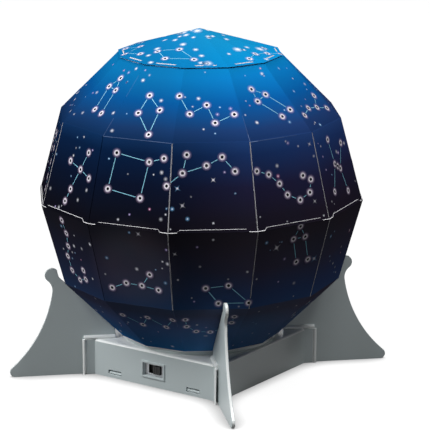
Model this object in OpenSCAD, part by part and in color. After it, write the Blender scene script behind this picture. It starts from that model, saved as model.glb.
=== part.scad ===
// Star-globe projector: a folded-card globe of twelve gores, pricked with star
// holes, over a lamp on a square battery base with four plug-in cradle legs.
// Millimetres, +Z up. The origin lies on the table under the middle of the base,
// and the switch faces -Y. Azimuths are counted from -Y towards +X.

/* [Globe] */
// Radius of the globe at its corners
globe_r = 100; // [94:1:106]
// Height of the cap's peak above the cap's rim
cap_rise = 15.4; // [13:0.2:18]
// Thickness of the printed card
card_t = 0.6; // [0.4:0.1:0.8]
// Width of the cut between two petals
seam_gap = 0.5; // [0.4:0.1:0.8]
// Height of the tabs by which the lower petals overlap the upper ones
tab_h = 1.8; // [1.4:0.2:3]
// How much narrower a tab is than its petal, at each end
tab_inset = 5; // [4:0.1:6]
// Slanted part of a tab's two ends
tab_chamfer = 1.8; // [1:0.1:2.4]
// Turn of the first seam from the switch side, in degrees
globe_twist = -5; // [-15:1:15]
// Width of the star pinholes
pinhole_d = 1.3; // [0.8:0.1:1.6]
// Scale of the star figures
figure_size = 1.2; // [1:0.05:1.3]
// Length of the slots in the cap that take the tabs of the upper card
cap_slot_w = 13; // [8:0.5:15]

/* [Base] */
// Width of the square base
base_w = 97; // [95:0.5:104]
// Height of the base
base_h = 22.5; // [22:0.5:26]
// Wall of the base
wall = 1.8; // [1.4:0.1:2]
// Rounding of the top edges
edge_r = 1.5; // [1:0.1:1.8]
// How far the leg sockets stand out from the corners
socket_out = 5.1; // [4:0.1:7]
// Wall of the leg sockets
socket_wall = 1.4; // [1.2:0.1:1.8]
// Radius of the bead along the mouth of a leg socket
bead_r = 1.2; // [1:0.1:1.4]

/* [Globe seat] */
// Height of the ledge that carries the globe
ledge_h = 2.4; // [2:0.1:4]
// Radius of the spigot that centres the globe
spigot_r = 37; // [34:0.5:39]
// Height of the spigot above the ledge
spigot_h = 5; // [4:0.5:8]

/* [Legs] */
// Thickness of a leg
leg_t = 2; // [1.6:0.1:2.2]
// Distance of the foot tips from the middle
leg_reach = 118.5; // [116:0.5:124]
// Radius of the rounded foot tip
foot_tip_r = 3.2; // [2.6:0.1:3.6]
// Radius of the knob at the top of a leg
knob_r = 4.4; // [4:0.1:4.8]
// Depth of the knob's top below the centre of the globe
knob_drop = 44; // [43:0.5:46]
// Radius of the hollow sweep of the outer edge
sweep_r = 78; // [74:1:84]
// Width of the neck under the knob
neck_w = 3.5; // [3:0.1:4]
// Radius of the hollow fillet between neck and knob
neck_fillet_r = 8; // [7:0.5:9]
// Room between the turning globe and the legs
cradle_gap = 0.8; // [0.6:0.1:1.2]
// Height of the stop ribs that rest on the base
rib_t = 1.9; // [1.7:0.1:2.4]
// Rounding of the stop ribs
rib_r = 1.5; // [1:0.1:1.6]

/* [Switch] */
// Width of the window
window_w = 15; // [14.2:0.2:16]
// Height of the window
window_h = 8; // [7.4:0.2:8.6]
// Width of the raised rim round the window
rim_w = 1.2; // [0.8:0.1:1.4]
// Height of the raised rim above the wall
rim_h = 0.8; // [0.4:0.1:1]
// Height of the window's middle above the table
window_z = 10.6; // [10:0.1:11.6]
// Width of the knob on the slider
slider_w = 4.8; // [4:0.2:5]
// Travel of the slider
slider_travel = 4.2; // [3.6:0.2:4.4]
// How far the knob stays back from the face of the wall
knob_recess = 0.3; // [0:0.1:0.6]

/* [Batteries] */
// Diameter of a cell
cell_d = 14.2; // [14:0.1:14.4]
// Length of a cell with its contact nub
cell_l = 50.4; // [50:0.1:50.8]
// Distance of the first cell's axis from the middle of the base
cell_y = 14.3; // [14:0.1:14.6]
// Length left for a contact spring
spring_l = 4.5; // [4:0.1:5]

/* [Lamp] */
// Height of the lamp post above the base
post_h = 70; // [60:1:76]
// Radius of the post at its foot
post_foot_r = 11; // [10:0.5:12]
// Radius of the post at its top
post_top_r = 8; // [7.8:0.1:9]
// Radius of the lamp's glass
glass_r = 5.6; // [5:0.1:6]

/* [Hidden] */
$fn = 48;
gores = 12;
step = 360 / gores;
fit_gap = 0.25;                       // room round a fixed piece that plugs in
run_gap = 0.3;                        // room round a piece that moves
small = 0.01;                         // depth by which cuts pass a face

// base
half_w = base_w / 2;
inner_w = half_w - wall;              // half width of the inside
corner_u = half_w * sqrt(2);          // corner of the base along the diagonal
socket_end = corner_u + socket_out;
slot_w = leg_t + 2 * fit_gap;
socket_w = slot_w + 2 * socket_wall;
ledge_z = base_h + ledge_h;
seat_in_r = spigot_r - 2;
seat_peg_r = 1.3;
seat_peg_u = 41.5;
SEAT_PEGS = [0, 90, 180, 270];
post_boss_h = 2;

// globe: rings at latitudes -60, -30, 0, 30 and 60 degrees
seat_z = ledge_z + run_gap;           // underside of the globe's foot
centre_z = seat_z + card_t + globe_r * sin(60);
foot_r = globe_r * cos(60);           // corner radius of the bottom ring
low_r = globe_r * cos(30);            // corner radius of the ring above it
overlap_r = globe_r + (card_t + 0.05) / pow(cos(step / 2), 2);
cap_z = centre_z + globe_r * sin(60);
function ring(lat) = [globe_r * cos(lat), centre_z + globe_r * sin(lat)];
function apothem(r) = r * cos(step / 2);
function half_edge(r) = r * sin(step / 2);
seat_out_r = apothem(foot_r) - 1.6;   // the ledge stays hidden under the globe

// the five rows of facets: lower ring and upper ring, each as [radius, height]
ROWS = [
    [ring(30), ring(60)],
    [ring(0), ring(30)],
    [ring(-30), [overlap_r, centre_z]],
    [ring(-60), ring(-30)],
    [[foot_r + card_t, cap_z + 0.85 * card_t], [0, cap_z + cap_rise]]
];
UPPER_BAND = 0;
UPPER_PETAL = 1;
LOWER_PETAL = 2;
LOWER_BAND = 3;
CAP = 4;
function slant(row) = let (a = ROWS[row][0], b = ROWS[row][1])
    norm([apothem(a[0]) - apothem(b[0]), b[1] - a[1]]);
function lean(row) = let (a = ROWS[row][0], b = ROWS[row][1])
    atan2(apothem(a[0]) - apothem(b[0]), b[1] - a[1]);
// half width of a facet at a distance up its slant
function half_at(row, y) = let (a = half_edge(ROWS[row][0][0]), b = half_edge(ROWS[row][1][0]))
    a + (b - a) * y / slant(row);

// star figures, drawn in millimetres about their own middle
FIGURES = [
    [[-17, 7], [-9, 9], [-3, 5], [4, 2], [6, -7], [16, -8], [17, 2]],
    [[-14, 5], [-7, -4], [0, 3], [6, -6], [14, 1]],
    [[0, 14], [1, 4], [-9, 1], [10, 6], [2, -8], [3, -15]],
    [[-8, 13], [7, 12], [-3, 1], [0, 0], [3, -1], [-7, -13], [9, -12]],
    [[1, 12], [-3, 6], [4, 5], [-1, -8], [6, -9]],
    [[-12, 6], [-11, -1], [-6, -6], [1, -7], [7, -4], [11, 2], [12, 8]],
    [[0, 11], [-6, 2], [5, 1], [-1, -12]],
    [[-16, -8], [-9, -1], [-8, 8], [2, 4], [9, 9], [16, 3]],
    [[-9, 9], [9, 10], [10, -8], [-8, -9], [16, 14]],
    [[-12, 13], [-7, 8], [-4, 1], [-3, -6], [2, -12], [9, -12], [13, -7], [10, -3]],
    [[-13, 0], [-4, 1], [4, -2], [11, 3], [12, -6]],
    [[-5, 14], [6, 12], [-6, 4], [5, 2], [-8, -8], [3, -10], [-13, -13]]
];
// where they stand: [row, gore, figure, x, y, turn], in the facet's own plane
PLACES = [
    [UPPER_BAND, 0, 6, 2, 18, 20], [UPPER_BAND, 1, 1, -2, 22, -15], [UPPER_BAND, 2, 4, 3, 22, 35],
    [UPPER_BAND, 3, 10, 0, 14, 10], [UPPER_BAND, 5, 5, 0, 18, 180], [UPPER_BAND, 6, 7, 0, 12, 0],
    [UPPER_BAND, 8, 6, 0, 22, 160], [UPPER_BAND, 9, 1, 0, 12, 8], [UPPER_BAND, 11, 4, -1, 24, 0],
    [UPPER_PETAL, 0, 8, -4, 30, -12], [UPPER_PETAL, 1, 7, -6, 34, -8], [UPPER_PETAL, 2, 9, -1, 26, 24],
    [UPPER_PETAL, 3, 3, 2, 26, -14], [UPPER_PETAL, 4, 0, 0, 20, 14], [UPPER_PETAL, 6, 11, 0, 26, 0],
    [UPPER_PETAL, 7, 1, 4, 18, 160], [UPPER_PETAL, 8, 2, 0, 28, 20], [UPPER_PETAL, 9, 5, 0, 24, 30],
    [UPPER_PETAL, 10, 9, 0, 24, 180], [UPPER_PETAL, 11, 2, 3, 25, -30],
    [LOWER_PETAL, 0, 10, -1, 15, 18], [LOWER_PETAL, 1, 6, 9, 10, 70], [LOWER_PETAL, 2, 4, 6, 36, 10],
    [LOWER_PETAL, 4, 8, 0, 26, 8], [LOWER_PETAL, 5, 3, 0, 26, 100], [LOWER_PETAL, 6, 0, 0, 30, -10],
    [LOWER_PETAL, 8, 7, 0, 20, 12], [LOWER_PETAL, 9, 11, 0, 26, 170], [LOWER_PETAL, 11, 9, -2, 26, -35],
    [LOWER_BAND, 0, 1, 2, 34, 12], [LOWER_BAND, 1, 5, 0, 32, 0], [LOWER_BAND, 3, 6, 0, 30, 90],
    [LOWER_BAND, 5, 4, 0, 28, 20], [LOWER_BAND, 7, 10, 0, 34, 6], [LOWER_BAND, 9, 1, 0, 30, 190],
    [CAP, 0, 6, 0, 16, 80], [CAP, 3, 10, 0, 9, 0], [CAP, 7, 4, 0, 14, 100], [CAP, 10, 1, 0, 10, 4]
];
// a point that lies past a seam, told in the plane of the next gore
function turned(p, a) = [p[0] * cos(a) - p[1] * sin(a), p[0] * sin(a) + p[1] * cos(a)];
function hop(row, p, side) = let (
    edge = half_edge(ROWS[row][0][0]),
    fold = 2 * atan((edge - half_edge(ROWS[row][1][0])) / slant(row)))
    turned(p - [side * edge, 0], -side * fold) - [side * edge, 0];
function wrapped(row, gore, p) =
    p[0] > half_at(row, p[1]) ? [(gore + 1) % gores, hop(row, p, 1)] :
    p[0] < -half_at(row, p[1]) ? [(gore + gores - 1) % gores, hop(row, p, -1)] : [gore, p];
STARS = [for (place = PLACES, star = FIGURES[place[2]])
    concat([place[0]], wrapped(place[0], place[1],
        figure_size * turned(star, place[5]) + [place[3], place[4]]))];
// pinholes of one facet: those of its stars that clear the facet's edges
hole_margin = pinhole_d / 2 + 0.9;
function holes(row, gore) = [for (s = STARS) if (s[0] == row && s[1] == gore
    && abs(s[2][0]) < half_at(row, s[2][1]) - hole_margin
    && s[2][1] > hole_margin && s[2][1] < slant(row) - hole_margin) s[2]];

// legs
tongue_inset = 4.6;                   // socket's inner end, out from the globe's bottom ring
tongue_u = foot_r + tongue_inset;     // inner edge of the leg in its socket
heel_u = foot_r + 3;                  // inner edge of the leg above the base
stop_gap = 0.15;                      // between the base and a leg's stop ribs
knob_u = low_r + cradle_gap + knob_r;
knob_z = centre_z - knob_drop - knob_r;
neck_u = low_r + cradle_gap + neck_w;
foot_u = leg_reach - foot_tip_r;
sweep_u = neck_u + sweep_r;
sweep_z = foot_tip_r + sqrt(pow(sweep_r + foot_tip_r, 2) - pow(sweep_u - foot_u, 2));
LEGS = [["leg_front", 45], ["leg_right", 135], ["leg_rear", 225], ["leg_left", 315]];

// switch
rim_half_w = window_w / 2 + rim_w;
rim_half_h = window_h / 2 + rim_w;
frame_t = 0.5;
frame_y = -inner_w + 0.1;             // outer face of the steel frame
frame_ear = 3;                        // frame beyond the window at each side
frame_lip = 2;                        // and above and below it
frame_w = window_w + 2 * frame_ear;
frame_h = window_h + 2 * frame_lip;
slider_slot_w = slider_w + slider_travel + 2 * run_gap;
slot_inset = 1.2;                     // plate seen above and below the slot
slider_slot_h = window_h - 2 * slot_inset;
switch_w = window_w + 1;
switch_d = 5.5;
carrier_t = 1.2;
carrier_w = slider_w + 3.6;
carrier_h = slider_slot_h + 0.8;
carrier_y = frame_y + frame_t + run_gap;
pocket_w = carrier_w + slider_travel + 2 * run_gap;
terminal_x = 4.5;
terminal_y = frame_y + frame_t + switch_d + 4;
slider_x = slider_travel / 2;         // the switch rests at its right stop

// batteries
cover_t = 1.8;
cover_gap = 0.2;
door_t = 1.2;
tub_wall = 1.4;
contact_t = 0.4;
dimple = 1;
cell_gap = 0.4;                       // room round the cells
cell_pitch = cell_d + 2 * cell_gap;
cell_z = door_t + run_gap + cell_d / 2;
tub_x = (cell_l + spring_l + dimple) / 2 + contact_t;  // half length inside
tub_y0 = cell_y - cell_d / 2 - cell_gap;
tub_y1 = cell_y + cell_pitch + cell_d / 2 + cell_gap;
tub_mid = (tub_y0 + tub_y1) / 2;
tub_top = cell_z + cell_d / 2 + cell_gap;
roof_t = 1.2;
lip_w = 2;                            // lip that the door closes against
lip_t = 1.4;
boss_r = 3;
boss_h = 9;
screw_r = 1.1;
head_r = 2;
head_h = 0.4;
door_screw_x = tub_x + tub_wall + boss_r - 0.4;
door_x = door_screw_x + boss_r + 0.3;                  // half size of the opening
door_y = (tub_y1 - tub_y0) / 2 + tub_wall + 0.4;
door_corner_r = 3.3;
lug_w = 3;                            // solder lugs of the contacts
lug_z = cell_z + 2;
lug_x = tub_x + tub_wall + 2.8;
snap_x = 29.5;
snap_w = 9.9;
snap_h = 2.6;
snap_z = 2.1;

// lamp
post_z = base_h + post_h;
post_bore_r = 4.4;
flange_r = post_foot_r + 6;
flange_t = 2;
post_screw_r = 1;
post_screw_u = post_foot_r + 3;
post_pad_r = 2.6;
POST_SCREWS = [90, 270];
POST_GUSSETS = [0, 180];
socket_r = 6;
socket_t = 0.4;
socket_h = 10;
socket_z = post_z - 5;
insulator_t = 2.4;
cap_r = 4.75;
bulb_z = socket_z + 2.4;
cap_h = 9;                            // screw cap of the bulb
neck_h = 1.5;                         // clear neck between cap and glass
glass_z = bulb_z + cap_h + glass_r + neck_h;
glass_t = 0.5;
neck_r = cap_r - 0.6;
stem_z = -glass_r - 2.6;              // foot of the neck, below the middle of the glass

PLASTIC = [0.56, 0.60, 0.60];
STEEL = [0.72, 0.73, 0.75];
BRASS = [0.78, 0.62, 0.32];
BLACK = [0.06, 0.06, 0.07];
CARD_UPPER = [0.03, 0.22, 0.45];
CARD_LOWER = [0.05, 0.06, 0.16];
CARD_CAP = [0.05, 0.60, 0.85];

// ---- shared forms ----

// turns its children, built along +X, to an azimuth
module at_azimuth(a) rotate([0, 0, a - 90]) children();

// upright block, drawn about its middle, with its two top corners rounded
module rounded_top(w, h, r) difference() {
    union() {
        translate([-w / 2, 0]) square([w, h - r]);
        translate([-w / 2 + r, 0]) square([w - 2 * r, h]);
        for (s = [-1, 1]) translate([s * (w / 2 - r), h - r]) circle(r);
    }
    translate([-w / 2, -r]) square([w, r]);
}

// tube swept along points, its sides kept level with a fixed reference direction
function unit(v) = v / norm(v);
function heading(path, i) = unit(path[min(i + 1, len(path) - 1)] - path[max(i - 1, 0)]);
function tube_ring(path, i, r, sides, ref) = let (
    t = heading(path, i), u = unit(cross(t, ref)), v = cross(t, u))
    [for (k = [0 : sides - 1]) path[i] + r * (cos(360 * k / sides) * u + sin(360 * k / sides) * v)];
module tube(path, r, sides, ref) {
    n = len(path);
    points = [for (i = [0 : n - 1]) each tube_ring(path, i, r, sides, ref)];
    faces = concat(
        [[for (k = [0 : sides - 1]) k]],
        [for (i = [0 : n - 2], k = [0 : sides - 1]) let (a = i * sides + k, b = i * sides + (k + 1) % sides)
            each [[a, a + sides, b], [b, a + sides, b + sides]]],
        [[for (k = [sides - 1 : -1 : 0]) (n - 1) * sides + k]]);
    polyhedron(points, faces);
}
// smooth path through a wire's turning points
function bend(a, b, c, t) = (1 - t) * (1 - t) * a + 2 * t * (1 - t) * b + t * t * c;
function wire_path(pts) = let (n = len(pts), mids = [for (i = [0 : n - 2]) (pts[i] + pts[i + 1]) / 2])
    concat([pts[0]], [for (i = [1 : n - 2], t = [0 : 0.25 : 1]) if (t < 1 || i == n - 2)
        bend(mids[i - 1], pts[i], mids[i], t)], [pts[n - 1]]);

// ---- base ----

module socket_block() {
    inner = tongue_u - fit_gap - socket_wall;
    translate([inner, -socket_w / 2, 0]) cube([socket_end - inner, socket_w, base_h]);
    for (s = [-1, 1])
        translate([socket_end - bead_r, s * (socket_w / 2 - bead_r / 2), 0])
            cylinder(r = bead_r, h = base_h);
}

module socket_slot()
    translate([tongue_u - fit_gap, -slot_w / 2, -small])
        cube([socket_end, slot_w, base_h + 2 * small]);

// rails that hold the switch frame behind the window
module switch_rails() {
    rail = 1.4;
    for (s = [-1, 1])
        translate([s * (frame_w / 2 + fit_gap + rail / 2) - rail / 2, -inner_w - small,
            window_z - frame_h / 2]) cube([rail, frame_t + 3, base_h - wall - window_z + frame_h / 2]);
    for (s = [-1, 1])
        translate([s * (frame_w / 2 - 0.8) - 1.4, frame_y + frame_t + 0.1, window_z - frame_h / 2])
            cube([2.8, 1, base_h - wall - window_z + frame_h / 2]);
}

// the base as seen from one side
module base_block() linear_extrude(base_w, center = true) rounded_top(base_w, base_h, edge_r);

module base_housing() color(PLASTIC) difference() {
    union() {
        difference() {
            intersection() {
                rotate([90, 0, 0]) base_block();
                rotate([90, 0, 90]) base_block();
            }
            translate([-inner_w, -inner_w, -small])
                cube([2 * inner_w, 2 * inner_w, base_h - wall + small]);
        }
        for (leg = LEGS) at_azimuth(leg[1]) socket_block();
        // raised rim of the switch window
        translate([-rim_half_w, -half_w - rim_h, window_z - rim_half_h])
            cube([2 * rim_half_w, rim_h + small, 2 * rim_half_h]);
        switch_rails();
        // bosses that stiffen the top under the post screws
        for (a = POST_SCREWS) at_azimuth(a)
            translate([post_screw_u, 0, base_h - wall - post_boss_h])
                cylinder(r = post_pad_r, h = post_boss_h + small);
    }
    for (leg = LEGS) at_azimuth(leg[1]) socket_slot();
    translate([-window_w / 2, -half_w - rim_h - small, window_z - window_h / 2])
        cube([window_w, wall + rim_h + 2 * small, window_h]);
    for (side = [-1, 1], x = [-snap_x, snap_x])
        translate([x - snap_w / 2, side * (half_w - wall / 2) - wall / 2 - small, snap_z])
            cube([snap_w, wall + 2 * small, snap_h]);
    // wire hole, and holes for the post screws and the pegs of the globe seat
    translate([0, 0, base_h - wall - 1]) cylinder(r = post_bore_r, h = wall + 2);
    for (a = POST_SCREWS) at_azimuth(a)
        translate([post_screw_u, 0, base_h - wall - post_boss_h - 1])
            cylinder(r = post_screw_r + fit_gap, h = wall + post_boss_h + 2);
    for (a = SEAT_PEGS) at_azimuth(a)
        translate([seat_peg_u, 0, base_h - wall - 1]) cylinder(r = seat_peg_r + fit_gap, h = wall + 2);
}

// ring with the ledge that carries the globe and the spigot that centres it
module globe_seat() color(PLASTIC) {
    translate([0, 0, base_h]) rotate_extrude($fn = 96)
        polygon([[seat_in_r, 0], [seat_out_r, 0], [seat_out_r, ledge_h], [spigot_r, ledge_h],
            [spigot_r, ledge_h + spigot_h - 0.8], [spigot_r - 0.8, ledge_h + spigot_h],
            [seat_in_r, ledge_h + spigot_h]]);
    for (a = SEAT_PEGS) at_azimuth(a)
        translate([seat_peg_u, 0, base_h - wall - 0.6]) cylinder(r = seat_peg_r, h = wall + 0.6 + small);
}

module snap_hook() {
    hook_w = snap_w - 0.9;
    arm_t = 1.3;
    reach = half_w - 0.5 - (inner_w - cover_gap);
    translate([-hook_w / 2, inner_w - cover_gap - arm_t, 0]) cube([hook_w, arm_t, snap_z + snap_h]);
    translate([-hook_w / 2, inner_w - cover_gap, 0]) rotate([90, 0, 90]) linear_extrude(hook_w)
        polygon([[-small, snap_z + 0.3], [reach, snap_z + 0.3], [reach, snap_z + 0.9],
            [-small, snap_z + snap_h - 0.2]]);
}

module bottom_cover() color(PLASTIC) difference() {
    union() {
        translate([-inner_w + cover_gap, -inner_w + cover_gap, 0])
            cube([2 * (inner_w - cover_gap), 2 * (inner_w - cover_gap), cover_t]);
        for (a = [0, 180], x = [-snap_x, snap_x]) rotate([0, 0, a]) translate([x, 0, 0]) snap_hook();
        // lip that the door closes against, and the battery tub
        translate([-door_x - lip_w, tub_mid - door_y - lip_w, cover_t - small])
            cube([2 * (door_x + lip_w), 2 * (door_y + lip_w), lip_t]);
        translate([-tub_x - tub_wall, tub_y0 - tub_wall, cover_t - small])
            cube([2 * (tub_x + tub_wall), tub_y1 - tub_y0 + 2 * tub_wall, tub_top + roof_t - cover_t]);
        for (s = [-1, 1]) translate([s * door_screw_x, tub_mid, cover_t]) cylinder(r = boss_r, h = boss_h);
    }
    // door opening, room for the cells, screw holes
    translate([0, 0, -small]) linear_extrude(door_t + run_gap + small) door_outline(0);
    translate([-tub_x, tub_y0, -small]) cube([2 * tub_x, tub_y1 - tub_y0, tub_top + small]);
    for (s = [-1, 1])
        translate([s * door_screw_x, tub_mid, cover_t - 1]) cylinder(r = screw_r + run_gap, h = boss_h);
    // slots for the solder lugs
    for (y = [cell_y, cell_y + cell_pitch])
        translate([tub_x - small, y - lug_w / 2 - fit_gap, lug_z - fit_gap])
            cube([tub_wall + 2 * small, lug_w + 2 * fit_gap, contact_t + 2 * fit_gap]);
    for (leg = LEGS) at_azimuth(leg[1])
        translate([tongue_u - fit_gap - socket_wall - cover_gap, -socket_w / 2 - cover_gap, -small])
            cube([corner_u, socket_w + 2 * cover_gap, cover_t + lip_t + 1]);
}

// outline of the door opening, and of the door with a gap all round
module door_outline(gap) {
    x = door_x - gap;
    y = door_y - gap;
    r = door_corner_r - gap;
    translate([0, tub_mid]) {
        square([2 * x, 2 * (y - r)], center = true);
        square([2 * (x - r), 2 * y], center = true);
        for (s = [-1, 1], t = [-1, 1]) translate([s * (x - r), t * (y - r)]) circle(r);
    }
}

module battery_door() color(PLASTIC) difference() {
    linear_extrude(door_t) door_outline(run_gap);
    for (s = [-1, 1]) translate([s * door_screw_x, tub_mid, -small]) {
        cylinder(r = screw_r + 0.15, h = door_t + 1);
        cylinder(r = head_r + 0.15, h = head_h + 0.2);
    }
    // finger grooves
    for (x = [-9 : 3 : 9]) translate([x - 0.6, tub_y0 + 3, -small]) cube([1.2, 8, 0.4]);
}

module door_screws() color(STEEL)
    for (s = [-1, 1]) translate([s * door_screw_x, tub_mid, 0]) difference() {
        union() {
            translate([0, 0, 0.1]) cylinder(r = head_r, h = head_h);
            translate([0, 0, 0.1]) cylinder(r = screw_r, h = boss_h - 1);
        }
        for (a = [0, 90]) rotate([0, 0, a]) translate([-1.2, -0.25, 0]) cube([2.4, 0.5, 0.35]);
    }

// ---- legs ----

function tangent_between(a, ra, b, rb) = let (
    d = norm(b - a), along = (ra * ra - rb * rb + d * d) / (2 * d), side = sqrt(ra * ra - along * along),
    e = (b - a) / d) a + along * e + side * [e[1], -e[0]];

// outline of a leg: distance from the middle across, height upwards
module leg_outline() {
    knob = [knob_u, knob_z];
    foot = [foot_u, foot_tip_r];
    sweep = [sweep_u, sweep_z];
    fillet = tangent_between(knob, knob_r + neck_fillet_r, sweep, sweep_r - neck_fillet_r);
    touch = sweep + (fillet - sweep) * sweep_r / norm(fillet - sweep);
    foot_touch = foot + (sweep - foot) * foot_tip_r / norm(sweep - foot);
    low_z = ring(-30)[1];
    foot_z = ring(-60)[1];
    difference() {
        union() {
            difference() {
                polygon([[tongue_u, 0], [foot_u, 0], foot, foot_touch, touch, knob,
                    [low_r + cradle_gap, low_z], [heel_u, foot_z + heel_u - foot_r - cradle_gap],
                    [heel_u, base_h + stop_gap], [tongue_u, base_h + stop_gap]]);
                translate(sweep) circle(sweep_r, $fn = 180);
            }
            difference() {
                polygon([knob, fillet, touch, [touch[0] - 3, touch[1]], [knob_u - 3, knob_z]]);
                translate(fillet) circle(neck_fillet_r);
            }
            translate(knob) circle(knob_r);
            translate(foot) circle(foot_tip_r);
        }
        // room for the turning globe
        polygon([[0, foot_z], [foot_r + cradle_gap, foot_z], [low_r + cradle_gap, low_z],
            [overlap_r + cradle_gap, centre_z], [0, centre_z]]);
    }
}

module leg(azimuth) color(PLASTIC) at_azimuth(azimuth) {
    rotate([90, 0, 0]) linear_extrude(leg_t, center = true) leg_outline();
    // stop ribs that rest on the socket
    translate([heel_u, 0, base_h + stop_gap]) rotate([90, 0, 90])
        linear_extrude(socket_end - heel_u - 1.2) rounded_top(socket_w, rib_t, rib_r);
}

// ---- switch ----

module switch_frame() color(STEEL) translate([0, frame_y, window_z]) difference() {
    translate([-frame_w / 2, 0, -frame_h / 2]) cube([frame_w, frame_t, frame_h]);
    translate([-slider_slot_w / 2, -small, -slider_slot_h / 2])
        cube([slider_slot_w, frame_t + 2 * small, slider_slot_h]);
}

module switch_body() color(BLACK) translate([0, frame_y + frame_t, window_z]) difference() {
    translate([-switch_w / 2, 0, -frame_h / 2]) cube([switch_w, switch_d, frame_h]);
    translate([-pocket_w / 2, -small, -carrier_h / 2 - run_gap])
        cube([pocket_w, carrier_t + 2 * run_gap + small, carrier_h + 2 * run_gap]);
}

module switch_slider() color(BLACK) translate([slider_x, 0, window_z]) {
    translate([-carrier_w / 2, carrier_y, -carrier_h / 2]) cube([carrier_w, carrier_t, carrier_h]);
    knob_h = slider_slot_h - 0.6;
    front = -half_w + knob_recess;
    difference() {
        translate([-slider_w / 2, front, -knob_h / 2]) cube([slider_w, carrier_y - front + small, knob_h]);
        for (x = [-1.2, 0, 1.2])
            translate([x - 0.25, front - small, -knob_h / 2 - 1]) cube([0.5, 0.4, knob_h + 2]);
    }
}

module switch_terminals() color(BRASS)
    for (x = [-terminal_x, 0, terminal_x])
        translate([x - 1, terminal_y - 4, window_z - 0.25]) cube([2, 4, 0.5]);

// ---- batteries and contacts ----

module cell(side) color([0.20, 0.20, 0.22]) {
    nub = 1.2;
    // side +1 has its nub towards +X
    translate([side * (tub_x - contact_t - dimple), 0, cell_z]) rotate([0, -90 * side, 0]) {
        cylinder(r = 2.7, h = nub + small);
        translate([0, 0, nub]) cylinder(r = cell_d / 2, h = cell_l - nub);
    }
}
module battery_front() translate([0, cell_y, 0]) cell(1);
module battery_rear() translate([0, cell_y + cell_pitch, 0]) cell(-1);

module contact_plate(side, y0, y1) {
    translate([side * (tub_x - contact_t / 2) - contact_t / 2, y0, cell_z - 5.5])
        cube([contact_t, y1 - y0, 11]);
}
module contact_dimple(side, y)
    translate([side * (tub_x - contact_t), y, cell_z]) rotate([0, -90 * side, 0])
        cylinder(r1 = 2.6, r2 = 1.6, h = dimple);

module contact_link() color(STEEL) {
    contact_plate(-1, cell_y - 5, cell_y + cell_pitch + 5);
    contact_dimple(-1, cell_y + cell_pitch);
}
module contact_pair() color(STEEL) {
    contact_dimple(1, cell_y);
    for (y = [cell_y, cell_y + cell_pitch]) {
        contact_plate(1, y - 5, y + 5);
        translate([tub_x - contact_t, y - lug_w / 2, lug_z])
            cube([lug_x - tub_x + contact_t, lug_w, contact_t]);
    }
}

// conical coil springs, closed against the plate and the cell's flat end
spring_wire_r = 0.35;
spring_turns = 4;
spring_rings = 12;
spring_foot_r = 4.6;
spring_tip_r = 2.6;
spring_run = spring_l - 2 * spring_wire_r - 0.1;
function coil(side) = [for (i = [0 : spring_turns * spring_rings])
    let (t = i / (spring_turns * spring_rings), a = 360 * i / spring_rings,
        r = spring_foot_r + (spring_tip_r - spring_foot_r) * t)
    [side * t * spring_run, r * cos(a), r * sin(a)]];
module contact_springs() color(STEEL) {
    start = tub_x - contact_t - spring_wire_r - 0.05;
    translate([-start, cell_y, cell_z]) tube(coil(1), spring_wire_r, 6, [1, 0, 0]);
    translate([start, cell_y + cell_pitch, cell_z]) tube(coil(-1), spring_wire_r, 6, [1, 0, 0]);
}

// ---- lamp ----

module lamp_post() color(PLASTIC) difference() {
    union() {
        translate([0, 0, base_h]) cylinder(r = flange_r, h = flange_t);
        translate([0, 0, base_h]) cylinder(r1 = post_foot_r, r2 = post_top_r, h = post_h);
        // gussets between the screw pads
        for (a = POST_GUSSETS) at_azimuth(a) translate([0, 0, base_h + flange_t - small])
            rotate([90, 0, 0]) linear_extrude(1.6, center = true)
                polygon([[0, 0], [flange_r - 1, 0], [post_foot_r - 0.6, 14], [0, 14]]);
        for (a = POST_SCREWS) at_azimuth(a)
            translate([post_screw_u, 0, base_h]) cylinder(r = post_pad_r, h = 6);
    }
    translate([0, 0, base_h - small]) cylinder(r = post_bore_r, h = post_h + 1);
    translate([0, 0, socket_z - insulator_t]) cylinder(r = socket_r + 0.1, h = post_h);
    for (a = POST_SCREWS) at_azimuth(a)
        translate([post_screw_u, 0, base_h - small]) cylinder(r = post_screw_r, h = 5);
}

module post_screws() color(STEEL)
    for (a = POST_SCREWS) at_azimuth(a)
        translate([post_screw_u, 0, base_h - wall - post_boss_h - 1.4]) {
            cylinder(r = head_r, h = 1.4);
            cylinder(r = post_screw_r - 0.05, h = 1.4 + post_boss_h + wall + 4.5);
        }

module socket_insulator() color(BLACK) translate([0, 0, socket_z - insulator_t]) difference() {
    cylinder(r = socket_r - 0.1, h = insulator_t);
    translate([0, 0, -small]) cylinder(r = 1, h = insulator_t + 1);
}

module lamp_socket() color(BRASS) {
    translate([0, 0, socket_z]) difference() {
        cylinder(r = socket_r, h = socket_h);
        translate([0, 0, socket_t]) cylinder(r = socket_r - socket_t, h = socket_h);
        translate([0, 0, -small]) cylinder(r = 2.6, h = 2);
    }
    // rolled lip
    translate([0, 0, socket_z + socket_h - 0.6]) difference() {
        cylinder(r = socket_r + 0.5, h = 0.6);
        translate([0, 0, -small]) cylinder(r = socket_r - socket_t, h = 1);
    }
}

module bulb_cap() color(BRASS) translate([0, 0, bulb_z]) difference() {
    union() {
        translate([0, 0, -2]) cylinder(r = 1.4, h = 2 + small);
        cylinder(r1 = 2.6, r2 = cap_r, h = 1.4);
        translate([0, 0, 1.4 - small]) cylinder(r = cap_r, h = cap_h - 1.4);
        // rolled thread
        for (z = [2.4 : 1.8 : 6]) translate([0, 0, z]) rotate_extrude()
            translate([cap_r - 0.2, 0]) circle(0.55);
    }
    translate([0, 0, 2.4]) cylinder(r = cap_r - 0.5, h = 8);
}

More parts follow.
